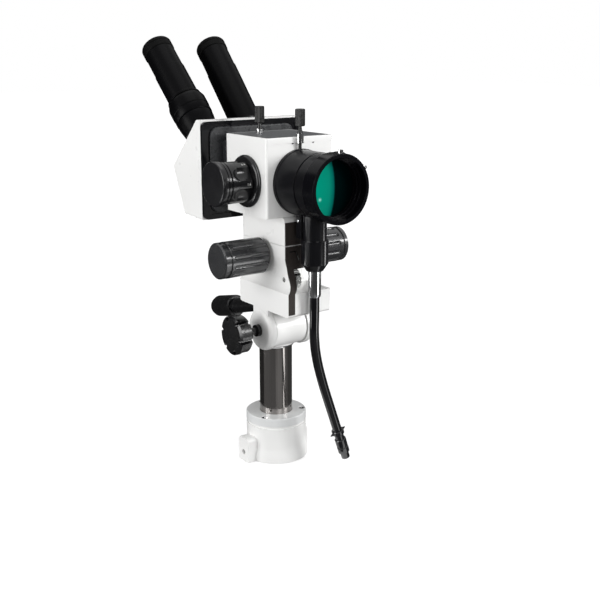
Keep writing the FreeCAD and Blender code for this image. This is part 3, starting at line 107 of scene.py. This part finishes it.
class Look:
    """One node material, built up step by step."""

    def __init__(self, name, color, rough, metal=0.0):
        self.material = bpy.data.materials.new(name)
        self.material.use_nodes = True
        self.tree = self.material.node_tree
        self.shader = self.tree.nodes["Principled BSDF"]
        self.color = (*color, 1.0)
        self.rough = rough
        self.shader.inputs["Base Color"].default_value = self.color
        self.shader.inputs["Roughness"].default_value = rough
        self.shader.inputs["Metallic"].default_value = metal
        self.place = self.node("ShaderNodeTexCoord").outputs["Object"]
        self.bump_output = None

    def node(self, kind, **values):
        made = self.tree.nodes.new(kind)
        for key, value in values.items():
            setattr(made, key, value)
        return made

    def link(self, a, b):
        self.tree.links.new(a, b)

    def math(self, operation, a, b=None):
        """One maths step on sockets or numbers."""
        made = self.node("ShaderNodeMath", operation=operation)
        for slot, value in zip(made.inputs, (a, b)):
            if value is None:
                continue
            if isinstance(value, (int, float)):
                slot.default_value = value
            else:
                self.link(value, slot)
        return made.outputs[0]

    def axis(self, letter):
        split = self.node("ShaderNodeSeparateXYZ")
        self.link(self.place, split.inputs["Vector"])
        return split.outputs[letter]

    def stretched(self, scale):
        """The object's coordinates, stretched along its axes."""
        mapping = self.node("ShaderNodeMapping")
        mapping.inputs["Scale"].default_value = scale
        self.link(self.place, mapping.inputs["Vector"])
        return mapping.outputs["Vector"]

    def noise(self, scale, detail=3.0, where=None):
        made = self.node("ShaderNodeTexNoise")
        made.inputs["Scale"].default_value = scale
        made.inputs["Detail"].default_value = detail
        self.link(where or self.place, made.inputs["Vector"])
        return made.outputs["Fac"]

    def ranged(self, value, from_low, from_high, to_low, to_high):
        made = self.node("ShaderNodeMapRange")
        made.inputs["From Min"].default_value = from_low
        made.inputs["From Max"].default_value = from_high
        made.inputs["To Min"].default_value = to_low
        made.inputs["To Max"].default_value = to_high
        self.link(value, made.inputs["Value"])
        return made.outputs["Result"]

    def vary_color(self, value, other, low_value=0.35, high_value=0.65):
        """Runs the colour towards another where the value is high."""
        ramp = self.node("ShaderNodeValToRGB")
        ramp.color_ramp.elements[0].position = low_value
        ramp.color_ramp.elements[0].color = self.color
        ramp.color_ramp.elements[1].position = high_value
        ramp.color_ramp.elements[1].color = (*other, 1.0)
        self.link(value, ramp.inputs["Fac"])
        self.link(ramp.outputs["Color"], self.shader.inputs["Base Color"])
        return ramp.outputs["Color"]

    def vary_rough(self, value, spread):
        result = self.ranged(value, 0.3, 0.7, max(0.0, self.rough - spread), self.rough + spread)
        self.link(result, self.shader.inputs["Roughness"])

    def bump(self, value, height, strength=1.0):
        made = self.node("ShaderNodeBump")
        made.inputs["Distance"].default_value = height
        made.inputs["Strength"].default_value = strength
        self.link(value, made.inputs["Height"])
        if self.bump_output is not None:
            self.link(self.bump_output, made.inputs["Normal"])
        self.bump_output = made.outputs["Normal"]
        self.link(self.bump_output, self.shader.inputs["Normal"])

    def set(self, **values):
        for key, value in values.items():
            self.shader.inputs[key.replace("_", " ")].default_value = value


def make_paint(name, color, rough=0.30):
    """Smooth enamel with a trace of orange peel and handling marks."""
    look = Look(name, color, rough)
    look.set(Coat_Weight=0.12, Coat_Roughness=0.15)
    look.vary_color(look.noise(14.0, 2.0), tuple(value * 0.985 for value in color))
    look.vary_rough(look.noise(60.0), 0.03)
    look.bump(look.noise(90.0, 1.0), 0.00002, 0.04)
    return look.material


def make_textured(name, color, rough, level):
    """Fine wrinkled paint, as on the dark covers."""
    look = Look(name, color, rough)
    look.set(Specular_IOR_Level=level)
    grain = look.noise(1500.0, 3.0)
    look.vary_color(grain, tuple(value * 1.6 + 0.006 for value in color), 0.42, 0.72)
    look.vary_rough(look.noise(250.0), 0.1)
    look.bump(grain, 0.0002, 0.7)
    return look.material


def make_gloss_black(name, color, rough, level):
    """Smooth black lacquer or moulded plastic."""
    look = Look(name, color, rough)
    look.set(Specular_IOR_Level=level)
    look.vary_color(look.noise(60.0), tuple(value * 1.3 for value in color))
    look.vary_rough(look.noise(90.0), 0.02)
    look.bump(look.noise(300.0, 1.0), 0.00001, 0.03)
    return look.material


def make_satin_black(name, color, rough, level):
    """Anodised or moulded black with a slight grain."""
    look = Look(name, color, rough)
    look.set(Specular_IOR_Level=level)
    look.vary_color(look.noise(700.0), tuple(value * 1.4 for value in color))
    look.vary_rough(look.noise(900.0), 0.04)
    look.bump(look.noise(2200.0, 2.0), 0.00004, 0.4)
    return look.material


def make_metal(name, color, rough, stretch, grain_height, scale=160.0, darker=0.8):
    """Bare metal with fine tool marks across the stretched direction."""
    look = Look(name, color, rough, 1.0)
    marks = look.noise(scale, 4.0, look.stretched(stretch))
    look.vary_color(marks, tuple(value * darker for value in color), 0.3, 0.8)
    look.vary_rough(marks, rough * 0.5)
    look.bump(marks, grain_height, 0.5)
    return look.material


def make_rubber(name, color, rough, level=0.25):
    look = Look(name, color, rough)
    look.set(Specular_IOR_Level=level)
    look.vary_color(look.noise(35.0), tuple(value * 1.8 for value in color))
    look.vary_rough(look.noise(300.0), 0.08)
    look.bump(look.noise(1800.0, 3.0), 0.00008, 0.6)
    return look.material


def make_glass(name, color, ior):
    look = Look(name, color, 0.02)
    look.set(Transmission_Weight=0.92, IOR=ior)
    look.vary_rough(look.noise(30.0), 0.015)
    return look.material


def make_knurled(name, color, rough, axis_x, axis_y, count, from_z, to_z):
    """Black anodising with straight knurling round an upright axis, between two heights."""
    look = Look(name, color, rough)
    look.set(Specular_IOR_Level=0.4)
    across = look.math("SUBTRACT", look.axis("X"), axis_x)
    along = look.math("SUBTRACT", look.axis("Y"), axis_y)
    angle = look.math("ARCTAN2", along, across)
    ridges = look.math("SINE", look.math("MULTIPLY", angle, float(count)))
    height = look.axis("Z")
    above = look.math("GREATER_THAN", height, from_z)
    below = look.math("LESS_THAN", height, to_z)
    ribs = look.math("MULTIPLY", ridges, look.math("MULTIPLY", above, below))
    crest = tuple(value * 3.0 + 0.008 for value in color)
    look.vary_color(look.ranged(ribs, -1.0, 1.0, 0.0, 1.0), crest, 0.45, 1.0)
    look.vary_rough(look.noise(300.0), 0.06)
    look.bump(look.ranged(ribs, -1.0, 1.0, 0.0, 1.0), 0.0002, 0.9)
    return look.material


# Painted reflection on the objective's lens: a teal left half with a curved edge, a near-black right half,
# and a small painted highlight spot
lens_height = 0.2947
lens_half = 0.027
painted_reflection_bend = 4.0             # how far the teal's edge curves towards the rim
painted_glint_left = 0.013
painted_glint_below = 0.010
painted_glint_radius = 0.0028
painted_glint_color = (0.35, 0.85, 0.75, 1.0)
painted_reflection_colors = ((0.12, (0.0, 0.30, 0.20, 1.0)), (0.45, (0.002, 0.22, 0.15, 1.0)),
               (0.54, (0.001, 0.11, 0.09, 1.0)), (0.57, (0.0, 0.004, 0.004, 1.0)))


def make_painted_reflection_lens():
    """The objective's glass with a painted reflection: teal on the left half, near black on the right, and a
    small painted highlight.
    """
    look = Look("lens_painted_reflection", (0.0, 0.002, 0.002), 0.03)
    look.set(Specular_IOR_Level=0.004)
    # The teal-to-black ramp across the lens is a painted reflection, not the coating's own colour
    x = look.axis("X")
    z = look.math("SUBTRACT", look.axis("Z"), lens_height)
    bend = look.math("MULTIPLY", look.math("MULTIPLY", z, z), painted_reflection_bend)
    edge = look.math("ADD", x, bend)
    ramp = look.node("ShaderNodeValToRGB")
    stops = ramp.color_ramp.elements
    stops[0].position = 0.0
    stops[0].color = (0.0, 0.10, 0.075, 1.0)
    stops[1].position = 1.0
    stops[1].color = (0.0, 0.0015, 0.002, 1.0)
    for place, shade in painted_reflection_colors:
        stops.new(place).color = shade
    look.link(look.ranged(edge, -lens_half, lens_half, 0.0, 1.0), ramp.inputs["Fac"])
    # Painted highlight: a small bright cyan spot mixed into the lens colour
    glint_x = look.math("SUBTRACT", x, -painted_glint_left)
    glint_z = look.math("ADD", z, painted_glint_below)
    square = look.math("ADD", look.math("MULTIPLY", glint_x, glint_x), look.math("MULTIPLY", glint_z, glint_z))
    painted_glint = look.ranged(look.math("SQRT", square), 0.0, painted_glint_radius, 1.0, 0.0)
    mix = look.node("ShaderNodeMix", data_type="RGBA")
    look.link(look.math("MULTIPLY", painted_glint, painted_glint), mix.inputs["Factor"])
    look.link(ramp.outputs["Color"], mix.inputs["A"])
    mix.inputs["B"].default_value = painted_glint_color
    look.link(mix.outputs["Result"], look.shader.inputs["Base Color"])
    return look.material


white = make_paint("white_enamel", (0.84, 0.84, 0.83))
cast_white = make_paint("cast_enamel", (0.82, 0.82, 0.81), 0.36)
# The cross barrel's enamel: the same white painted lighter than the rest, as painted light on the barrel
barrel_white_painted_light = make_paint("barrel_enamel_painted_light", (0.91, 0.91, 0.90))
ring_grey = make_paint("ring_grey_enamel", (0.68, 0.69, 0.69), 0.36)
dark_cover = make_textured("dark_cover", (0.024, 0.019, 0.017), 0.5, 0.2)
panel_grey = make_textured("panel_grey", (0.018, 0.019, 0.021), 0.30, 0.35)
lid_grey = make_satin_black("lid_satin", (0.085, 0.087, 0.09), 0.42, 0.06)
gloss_black = make_gloss_black("gloss_black", (0.004, 0.004, 0.005), 0.14, 0.25)
handle_black = make_gloss_black("handle_black", (0.004, 0.004, 0.0045), 0.26, 0.6)
barrel_black = make_gloss_black("barrel_black", (0.0035, 0.0035, 0.0045), 0.3, 0.12)
ring_black = make_gloss_black("ring_black", (0.0025, 0.0025, 0.0035), 0.2, 0.09)
port_black = make_gloss_black("port_black", (0.0035, 0.0035, 0.0045), 0.16, 0.5)
tube_black = make_satin_black("tube_black", (0.0012, 0.0012, 0.0015), 0.34, 0.05)
knob_black = make_gloss_black("knob_black", (0.020, 0.0205, 0.022), 0.22, 0.8)
dial_black = make_gloss_black("dial_black", (0.009, 0.009, 0.010), 0.2, 0.4)
post_steel = make_metal("post_steel", (0.46, 0.435, 0.42), 0.15, (1.0, 1.0, 0.06), 0.00001, 220.0, 0.7)
turned_steel = make_metal("turned_steel", (0.55, 0.55, 0.54), 0.3, (8.0, 0.4, 0.4), 0.00002)
satin_alloy = make_metal("satin_alloy", (0.62, 0.63, 0.64), 0.18, (1.0, 1.0, 0.1), 0.00001, 200.0)
wheel_alloy = make_metal("wheel_alloy", (0.66, 0.66, 0.65), 0.2, (0.2, 1.0, 1.0), 0.000003, 90.0, 0.9)
chrome = make_metal("chrome", (0.80, 0.80, 0.80), 0.08, (0.3, 0.3, 3.0), 0.000006)
bronze = make_metal("bearing_bronze", (0.55, 0.38, 0.18), 0.35, (6.0, 0.5, 0.5), 0.00002)
fibre = make_rubber("friction_fibre", (0.10, 0.06, 0.035), 0.8)
cup_rubber = make_rubber("eyecup_rubber", (0.0014, 0.0014, 0.0014), 0.5, 0.05)
hose_black = make_gloss_black("hose_black", (0.003, 0.003, 0.004), 0.12, 0.6)
mark_white = make_paint("mark_white", (0.75, 0.75, 0.73), 0.5)
clear = make_glass("clear_glass", (0.93, 0.97, 0.98), 1.52)
green = make_glass("green_filter", (0.10, 0.70, 0.30), 1.52)
painted_reflection_lens = make_painted_reflection_lens()

# Filter rods: their axes, and the knurled stretch of their heads
rod_rear_axis = (-0.010, 0.0105)
rod_front_axis = (-0.0025, -0.0469)
knurl_bottom = 0.3476
knurl_top = 0.365
knurl_count = 26
rod_color = (0.006, 0.006, 0.006)
rod_rear = make_knurled("rear_rod_black", rod_color, 0.3, *rod_rear_axis, knurl_count, knurl_bottom,
                        knurl_top)
rod_front = make_knurled("front_rod_black", rod_color, 0.3, *rod_front_axis, knurl_count, knurl_bottom,
                         knurl_top)

# Every node's material, with the width of the fine bevel on its sharp edges
looks = {
    "stand_socket": (cast_white, 0.4), "flange_ring": (ring_grey, 0.3), "flange_screws": (chrome, 0.15),
    "post_bush": (bronze, 0.1), "socket_clamp_screws": (chrome, 0.15), "post_tube": (post_steel, 0.2),
    "tilt_barrel": (barrel_white_painted_light, 0.4), "tilt_bushes": (bronze, 0.1), "column_foot": (white, 0.35),
    "tilt_shaft": (turned_steel, 0.2), "friction_washers": (fibre, 0.1),
    "handle_arm": (handle_black, 0.3), "handle_grip": (handle_black, 0.3),
    "focus_housing": (white, 0.35), "column_cover": (dark_cover, 0.15), "focus_bushes": (bronze, 0.1),
    "tilt_knob": (handle_black, 0.5), "tilt_stud": (handle_black, 0.2),
    "lock_wheel": (wheel_alloy, 0.12), "focus_shaft": (turned_steel, 0.2),
    "focus_pinion": (turned_steel, 0.05), "focus_knob_left": (knob_black, 0.12),
    "focus_knob_right": (knob_black, 0.12), "slider_block": (white, 0.35),
    "slider_cover": (dark_cover, 0.15), "focus_rack": (bronze, 0.05), "body_housing": (white, 0.3),
    "body_lid": (white, 0.3), "lid_plate": (lid_grey, 0.15), "changer_flanges": (dial_black, 0.2),
    "filter_guides": (chrome, 0.12), "objective_barrel": (barrel_black, 0.2),
    "objective_ring": (ring_black, 0.25), "objective_lens": (painted_reflection_lens, 0.0),
    "objective_screws": (chrome, 0.15), "light_port": (port_black, 0.3),
    "guide_ferrule": (satin_alloy, 0.2), "hose_clip": (hose_black, 0.15),
    "hose_coupling": (hose_black, 0.2), "rear_frame": (gloss_black, 0.5),
    "frame_panel": (panel_grey, 0.3), "binocular_housing": (white, 0.4),
    "binocular_prisms": (clear, 0.2), "changer_drum": (barrel_black, 0.2),
    "changer_lenses": (clear, 0.0), "changer_knobs": (dial_black, 0.4),
    "filter_rod_rear": (rod_rear, 0.2), "filter_glass_rear": (green, 0.0),
    "filter_rod_front": (rod_front, 0.2), "filter_glass_front": (green, 0.0),
    "tube_left": (tube_black, 0.3), "diopter_ring": (tube_black, 0.3),
    "eyepiece_left": (tube_black, 0.25), "eyecup_left": (cup_rubber, 0.3),
    "eye_lens_left": (clear, 0.0), "tube_right": (tube_black, 0.3),
    "eyepiece_right": (tube_black, 0.25), "eyecup_right": (cup_rubber, 0.3),
    "eye_lens_right": (clear, 0.0),
}


merge_distance = 0.000002
bevel_angle = math.radians(32)
crease_angle = math.radians(38)


def dress(obj, material, bevel_mm):
    """Gives a piece its material and clean shading: flat faces stay flat, sharp edges get a fine bevel."""
    mesh = obj.data
    mesh.materials.clear()
    mesh.materials.append(material)
    for polygon in mesh.polygons:
        polygon.material_index = 0
    own_normals = mesh.attributes.get("custom_normal")
    if own_normals is not None:
        mesh.attributes.remove(own_normals)
    mesh.shade_smooth()
    weld = obj.modifiers.new("weld", "WELD")
    weld.merge_threshold = merge_distance
    if bevel_mm:
        edge = obj.modifiers.new("bevel", "BEVEL")
        edge.width = bevel_mm / 1000
        edge.segments = 3
        edge.limit_method = "ANGLE"
        edge.angle_limit = bevel_angle
        edge.use_clamp_overlap = True
        edge.harden_normals = True
    split = obj.modifiers.new("crease", "EDGE_SPLIT")
    split.split_angle = crease_angle
    split.use_edge_sharp = False


for name, (material, bevel_mm) in looks.items():
    dress(nodes[name], material, bevel_mm)
hose.data.materials.append(hose_black)


# Small pieces


def add_piece(name, made, material, body):
    """A piece from a finished bmesh, on its body and with its slot."""
    mesh = bpy.data.meshes.new(name)
    made.to_mesh(mesh)
    made.free()
    mesh.materials.append(material)
    mesh.shade_smooth()
    piece = bpy.data.objects.new(name, mesh)
    scene.collection.objects.link(piece)
    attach(piece, body)
    split = piece.modifiers.new("crease", "EDGE_SPLIT")
    split.split_angle = crease_angle
    return piece


def turned(profile, place, way, steps=40):
    """A lathe bmesh from (along, radius) corners in mm, closed to a ring where neither end is on the axis."""
    made = bmesh.new()
    turn = Vector(way).normalized().to_track_quat("Z", "Y").to_matrix().to_4x4()
    matrix = Matrix.Translation(Vector(place) / 1000) @ turn
    rings = []
    for along, radius in profile:
        if radius < 1e-6:
            rings.append([made.verts.new(matrix @ Vector((0, 0, along / 1000)))])
            continue
        ring = []
        for step in range(steps):
            angle = 2 * math.pi * step / steps
            point = Vector((radius * math.cos(angle), radius * math.sin(angle), along)) / 1000
            ring.append(made.verts.new(matrix @ point))
        rings.append(ring)
    for first, second in zip(rings, rings[1:] + ([rings[0]] if profile[0][1] and profile[-1][1] else [])):
        for step in range(steps):
            after = (step + 1) % steps
            corners = [first[step % len(first)], first[after % len(first)], second[after % len(second)],
                       second[step % len(second)]]
            corners = list(dict.fromkeys(corners))
            if len(corners) > 2:
                made.faces.new(corners)
    bmesh.ops.recalc_face_normals(made, faces=made.faces)
    return made


def bar(corners, up, thickness, bevel=0.15):
    """A flat bevelled strip bmesh from corners in mm, raised along up."""
    made = bmesh.new()
    shift = Vector(up).normalized() * thickness / 1000
    bottom = [made.verts.new(Vector(corner) / 1000) for corner in corners]
    top = [made.verts.new(vertex.co + shift) for vertex in bottom]
    made.faces.new(bottom)
    made.faces.new(top)
    for index in range(len(bottom)):
        after = (index + 1) % len(bottom)
        made.faces.new([bottom[index], bottom[after], top[after], top[index]])
    bmesh.ops.recalc_face_normals(made, faces=made.faces)
    bmesh.ops.bevel(made, geom=made.edges[:], offset=bevel / 1000, segments=2, profile=0.5, affect="EDGES",
                    clamp_overlap=True)
    return made


def changer_radius(along, angle):
    """The hub's radius in mm, less the spoon-shaped scallops between its six ridges."""
    radius = dial_hub_r
    turn = 2 * math.pi / len(dial_numbers)
    off = (angle - turn / 2) % turn
    off = min(off, turn - off)
    hollow_r = scallop_r
    past = along - scallop_end
    if past > 0:
        hollow_r = math.sqrt(max(0.0, scallop_r ** 2 - past ** 2))
    reach = hollow_r ** 2 - (scallop_place * math.sin(off)) ** 2
    if reach > 0:
        radius = min(radius, scallop_place * math.cos(off) - math.sqrt(reach))
    return radius


def make_changer_knob(side):
    """One magnification knob as a bmesh: scalloped hub, grooved cap with a chamfered rim."""
    made = bmesh.new()
    steps = 180
    rings = [(0.0, dial_hub_r - 3.0), (0.7, dial_hub_r - 1.6), (1.4, dial_hub_r - 0.5), (2.0, dial_hub_r)]
    rings += [(2.0 + 0.51 * index, dial_hub_r) for index in range(1, 40)]
    cap = dial_hub_len
    rings += [(cap, dial_hub_r), (cap + 0.3, dial_hub_r - 0.3), (cap + 0.5, dial_hub_r - 1.4),
              (cap + 1.5, dial_hub_r - 1.4), (cap + 1.7, dial_cap_r - 0.8), (cap + 1.9, dial_cap_r - 0.6),
              (cap + 4.2, dial_cap_r - 0.6), (cap + 4.5, dial_cap_r - 1.3), (cap + 5.1, dial_cap_r - 1.3),
              (cap + 5.3, dial_cap_r - 0.3), (cap + 5.6, dial_cap_r), (dial_len - 1.3, dial_cap_r),
              (dial_len - 0.9, dial_cap_r - 0.15), (dial_len - 0.3, dial_cap_r - 0.7),
              (dial_len - 0.05, dial_cap_r - 1.2), (dial_len, dial_cap_r - 1.6)]
    loops = []
    for along, radius in rings:
        loop = []
        for step in range(steps):
            angle = 2 * math.pi * step / steps
            here = min(radius, changer_radius(along, angle)) if along < cap else radius
            x = side * (dial_in + along)
            y = dial_y + here * math.cos(angle)
            z = dial_z + here * math.sin(angle)
            loop.append(made.verts.new((x / 1000, y / 1000, z / 1000)))
        loops.append(loop)
    for first, second in zip(loops, loops[1:]):
        for step in range(steps):
            after = (step + 1) % steps
            made.faces.new([first[step], first[after], second[after], second[step]])
    for loop, along in ((loops[0], 0.0), (loops[-1], dial_len)):
        centre = made.verts.new((side * (dial_in + along) / 1000, dial_y / 1000, dial_z / 1000))
        for step in range(steps):
            made.faces.new([loop[step], loop[(step + 1) % steps], centre])
    bmesh.ops.recalc_face_normals(made, faces=made.faces)
    return made


def add_number(text, size, place, out, up, material, body, name):
    """A raised number in mm on a surface: out is away from the surface, up is the top of the digits."""
    data = bpy.data.curves.new(name, "FONT")
    data.body = text
    data.size = size / 1000
    data.extrude = 0.00004
    data.align_x = "CENTER"
    data.align_y = "CENTER"
    data.resolution_u = 3
    letters = bpy.data.objects.new(name + "_curve", data)
    scene.collection.objects.link(letters)
    mesh = bpy.data.meshes.new_from_object(letters)
    bpy.data.objects.remove(letters)
    z = Vector(out).normalized()
    y = Vector(up).normalized()
    x = y.cross(z)
    matrix = Matrix((x, y, z)).transposed().to_4x4()
    mesh.transform(Matrix.Translation(Vector(place) / 1000) @ matrix)
    mesh.name = name
    mesh.materials.clear()
    mesh.materials.append(material)
    piece = bpy.data.objects.new(name, mesh)
    scene.collection.objects.link(piece)
    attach(piece, body)
    return piece


# Magnification knobs, in mm as in the part's source, with a ridge and its number facing forward
dial_y = -9.6
dial_z = 294.7
dial_in = 43.6
dial_hub_r = 20.2
dial_hub_len = 22.4
dial_cap_r = 21.4
dial_len = 33.7
scallop_r = 11.0
scallop_place = 27.6
scallop_end = 13.0
dial_numbers = ("1", "2.5", "0.4", "1.6", "1", "0.6")
number_x = 49.0
number_size = 3.4


def add_changer_knobs():
    """Both knobs, which stand for the plainer solids, with the magnifications on their ridges."""
    for side, side_name in ((-1, "left"), (1, "right")):
        knob = add_piece("changer_knob_" + side_name, make_changer_knob(side), dial_black, "changer")
        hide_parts("changer_knobs")
        for index, value in enumerate(dial_numbers):
            angle = 2 * math.pi * index / len(dial_numbers)
            out = Vector((0, math.cos(angle), math.sin(angle)))
            place = Vector((side * number_x, dial_y, dial_z)) + out * dial_hub_r
            up = Vector((0, out.z, -out.y))
            add_number(value, number_size, place, out, up, mark_white, "changer",
                       "dial_%s_%d" % (side_name, index))


add_changer_knobs()

# Bright ring under the cross barrel
collar_profile = [(121.72, 17.1), (121.72, 18.5), (122.1, 18.8), (123.3, 19.25), (123.7, 19.1), (123.7, 17.1)]
collar = turned(collar_profile, (0, 0, 0), (0, 0, 1), 64)
add_piece("collar_ring", collar, chrome, "post")

# Two sunk screws in the seam under the lid, and the screw of the light port's bracket
lid_screw_profile = [(0.0, 0.0), (0.0, 1.25), (0.14, 1.1), (0.14, 0.55), (0.02, 0.5), (0.02, 0.0)]
for index, place in enumerate(((-8.8, -43.55, 332.1), (15.4, -43.55, 331.9))):
    screw = turned(lid_screw_profile, place, (0, -1, 0), 24)
    add_piece("lid_screw_%d" % index, screw, handle_black, "optics_head")
bracket_profile = [(0.0, 0.0), (0.0, 1.7), (0.7, 1.7), (1.0, 1.3), (1.0, 0.7), (0.4, 0.6), (0.4, 0.0)]
screw = turned(bracket_profile, (-11.0, -55.5, 259.5), (-1, 0, 0), 24)
add_piece("bracket_screw", screw, satin_alloy, "optics_head")

# Dark hooked strip on the column's dark cover: painted shade standing for the shade in a hooked groove
groove_shade_front = -46.8
groove_shade_outline = ((-15.8, 228.9), (-7.6, 228.9), (-3.4, 219.2), (-4.4, 218.7), (-8.4, 227.9), (-15.8, 227.9))
groove_shade_strip = bar([(x, groove_shade_front, z) for x, z in groove_shade_outline], (0, -1, 0), 0.3, 0.08)
add_piece("cover_groove_shade", groove_shade_strip, handle_black, "column")

# Clip on the top edge of the binocular housing
clip_base = 350.0
clip_outline = ((0.8, 46.0), (7.2, 46.0), (7.2, 52.0), (0.8, 52.0))
clip = bar([(x, y, clip_base) for x, y in clip_outline], (0, 0, 1), 1.2, 0.3)
add_piece("housing_clip", clip, handle_black, "optics_head")


# Stage


def add_lamp(name, place, target, size_x, size_y, power):
    data = bpy.data.lights.new(name, "AREA")
    data.shape = "RECTANGLE"
    data.size = size_x
    data.size_y = size_y
    data.energy = power
    lamp = bpy.data.objects.new(name, data)
    scene.collection.objects.link(lamp)
    lamp.location = place
    way = Vector(target) - Vector(place)
    lamp.rotation_mode = "QUATERNION"
    lamp.rotation_quaternion = way.to_track_quat("-Z", "Y")


def background_share(tree):
    """1 for camera, glossy and transmission rays, 0 for the rest."""
    path = tree.nodes.new("ShaderNodeLightPath")
    share = path.outputs["Is Camera Ray"]
    for output in ("Is Glossy Ray", "Is Transmission Ray"):
        either = tree.nodes.new("ShaderNodeMath")
        either.operation = "MAXIMUM"
        tree.links.new(share, either.inputs[0])
        tree.links.new(path.outputs[output], either.inputs[1])
        share = either.outputs[0]
    return share


def add_world(light):
    world = bpy.data.worlds.new("studio")
    world.use_nodes = True
    scene.world = world
    tree = world.node_tree
    background = tree.nodes["Background"]
    background.inputs["Color"].default_value = (1, 1, 1, 1)
    strength = tree.nodes.new("ShaderNodeMapRange")
    strength.inputs["To Min"].default_value = light
    strength.inputs["To Max"].default_value = 1.0
    tree.links.new(background_share(tree), strength.inputs["Value"])
    tree.links.new(strength.outputs["Result"], background.inputs["Strength"])


floor_half = 8.0
floor_drop = 0.0006     # keeps the floor clear of the socket's foot
floor_grey = 0.3
glow_reach = (0.5, 2.2)
glow_levels = (0.8, 1.0)


def add_floor():
    """A pale floor that takes the shadow and glows a little for the camera, more so further out."""
    mesh = bpy.data.meshes.new("floor")
    made = bmesh.new()
    bmesh.ops.create_grid(made, x_segments=1, y_segments=1, size=floor_half)
    made.to_mesh(mesh)
    made.free()
    floor = bpy.data.objects.new("floor", mesh)
    scene.collection.objects.link(floor)
    floor.location = (0, 0, -floor_drop)
    material = bpy.data.materials.new("pale_floor")
    material.use_nodes = True
    tree = material.node_tree
    shader = tree.nodes["Principled BSDF"]
    shader.inputs["Base Color"].default_value = (floor_grey, floor_grey, floor_grey, 1)
    shader.inputs["Roughness"].default_value = 0.9
    shader.inputs["Specular IOR Level"].default_value = 0.0
    place = tree.nodes.new("ShaderNodeTexCoord")
    length = tree.nodes.new("ShaderNodeVectorMath")
    length.operation = "LENGTH"
    tree.links.new(place.outputs["Object"], length.inputs[0])
    far = tree.nodes.new("ShaderNodeMapRange")
    far.inputs["From Min"].default_value, far.inputs["From Max"].default_value = glow_reach
    far.inputs["To Min"].default_value, far.inputs["To Max"].default_value = glow_levels
    tree.links.new(length.outputs["Value"], far.inputs["Value"])
    share = tree.nodes.new("ShaderNodeMath")
    share.operation = "MULTIPLY"
    tree.links.new(background_share(tree), share.inputs[0])
    tree.links.new(far.outputs["Result"], share.inputs[1])
    emission = tree.nodes.new("ShaderNodeEmission")
    emission.inputs["Color"].default_value = (1, 1, 1, 1)
    tree.links.new(share.outputs[0], emission.inputs["Strength"])
    both = tree.nodes.new("ShaderNodeAddShader")
    tree.links.new(shader.outputs[0], both.inputs[0])
    tree.links.new(emission.outputs[0], both.inputs[1])
    tree.links.new(both.outputs[0], tree.nodes["Material Output"].inputs["Surface"])
    mesh.materials.append(material)


def add_flag(name, from_angle, to_angle, strength, reach=None):
    """
    A flag that only reflections see: a sector over the floor, between two angles in degrees.

    It ends at an upright wall. With a reach it is a flat strip between those two distances instead, and
    lies a little higher, so that it covers the sector below it.
    """
    near_r, far_r = reach or (flag_near, flag_far)
    lift = Vector((0, 0, strip_lift if reach else 0))
    made = bmesh.new()
    near, low_ring, high_ring = [], [], []
    steps = flag_steps
    for step in range(steps + 1):
        angle = math.radians(from_angle + (to_angle - from_angle) * step / steps)
        way = Vector((math.cos(angle), math.sin(angle), 0))
        near.append(made.verts.new(way * near_r + lift))
        low_ring.append(made.verts.new(way * far_r + lift))
        if not reach:
            high_ring.append(made.verts.new(way * far_r + Vector((0, 0, flag_height))))
    bands = [(near, low_ring)] if reach else [(near, low_ring), (low_ring, high_ring)]
    for inner, outer in bands:
        for step in range(steps):
            made.faces.new([inner[step], outer[step], outer[step + 1], inner[step + 1]])
    mesh = bpy.data.meshes.new(name)
    made.to_mesh(mesh)
    made.free()
    material = bpy.data.materials.new(name)
    material.use_nodes = True
    tree = material.node_tree
    tree.nodes.remove(tree.nodes["Principled BSDF"])
    glow = tree.nodes.new("ShaderNodeEmission")
    glow.inputs["Strength"].default_value = strength
    tree.links.new(glow.outputs[0], tree.nodes["Material Output"].inputs["Surface"])
    mesh.materials.append(material)
    flag = bpy.data.objects.new(name, mesh)
    scene.collection.objects.link(flag)
    flag.visible_camera = False
    flag.visible_diffuse = False
    flag.visible_shadow = False
    flag.visible_transmission = False


world_light = 0.44
middle = (0, 0, 0.24)
flag_near = 0.07
flag_far = 1.9
flag_height = 1.3
flag_steps = 12
strip_lift = 0.002
near_zone = (0.07, 0.5)
middle_zone = (0.5, 0.86)
far_zone = (0.86, 1.3)

# Name, first and last angle, strength, and reach where it is a strip
flags = (
    ("flag_back_left", 60, 145, 0.03), ("flag_left", 145, 178, 0.13), ("flag_front", 178, 278, 0.06),
    ("flag_front_right", 278, 325, 0.12), ("flag_right", 325, 420, 0.07),
    ("near_left", 178, 235, 0.13, near_zone), ("near_right", 235, 278, 0.24, near_zone),
    ("near_strip", 288, 299, 2.2, near_zone), ("strip_left", 150, 161, 9.0, middle_zone),
    ("strip_right", 288, 301, 6.0, middle_zone), ("port_strip_left", 137, 147, 9.0, far_zone),
    ("port_strip_right", 322, 334, 7.0, far_zone),
)

# Name, place, width, height and power
lamps = (
    ("key", (1.15, -1.5, 0.8), 0.7, 0.7, 27.0), ("left_side", (-1.7, 0.2, 0.5), 1.0, 1.1, 24.0),
    ("front_low", (-0.3, -1.7, 0.55), 0.9, 0.35, 6.5), ("top", (0.0, 0.2, 1.7), 1.0, 1.0, 5.0),
)

add_world(world_light)
add_floor()
for flag in flags:
    add_flag(*flag)
for name, place, width, height, power in lamps:
    add_lamp(name, place, middle, width, height, power)
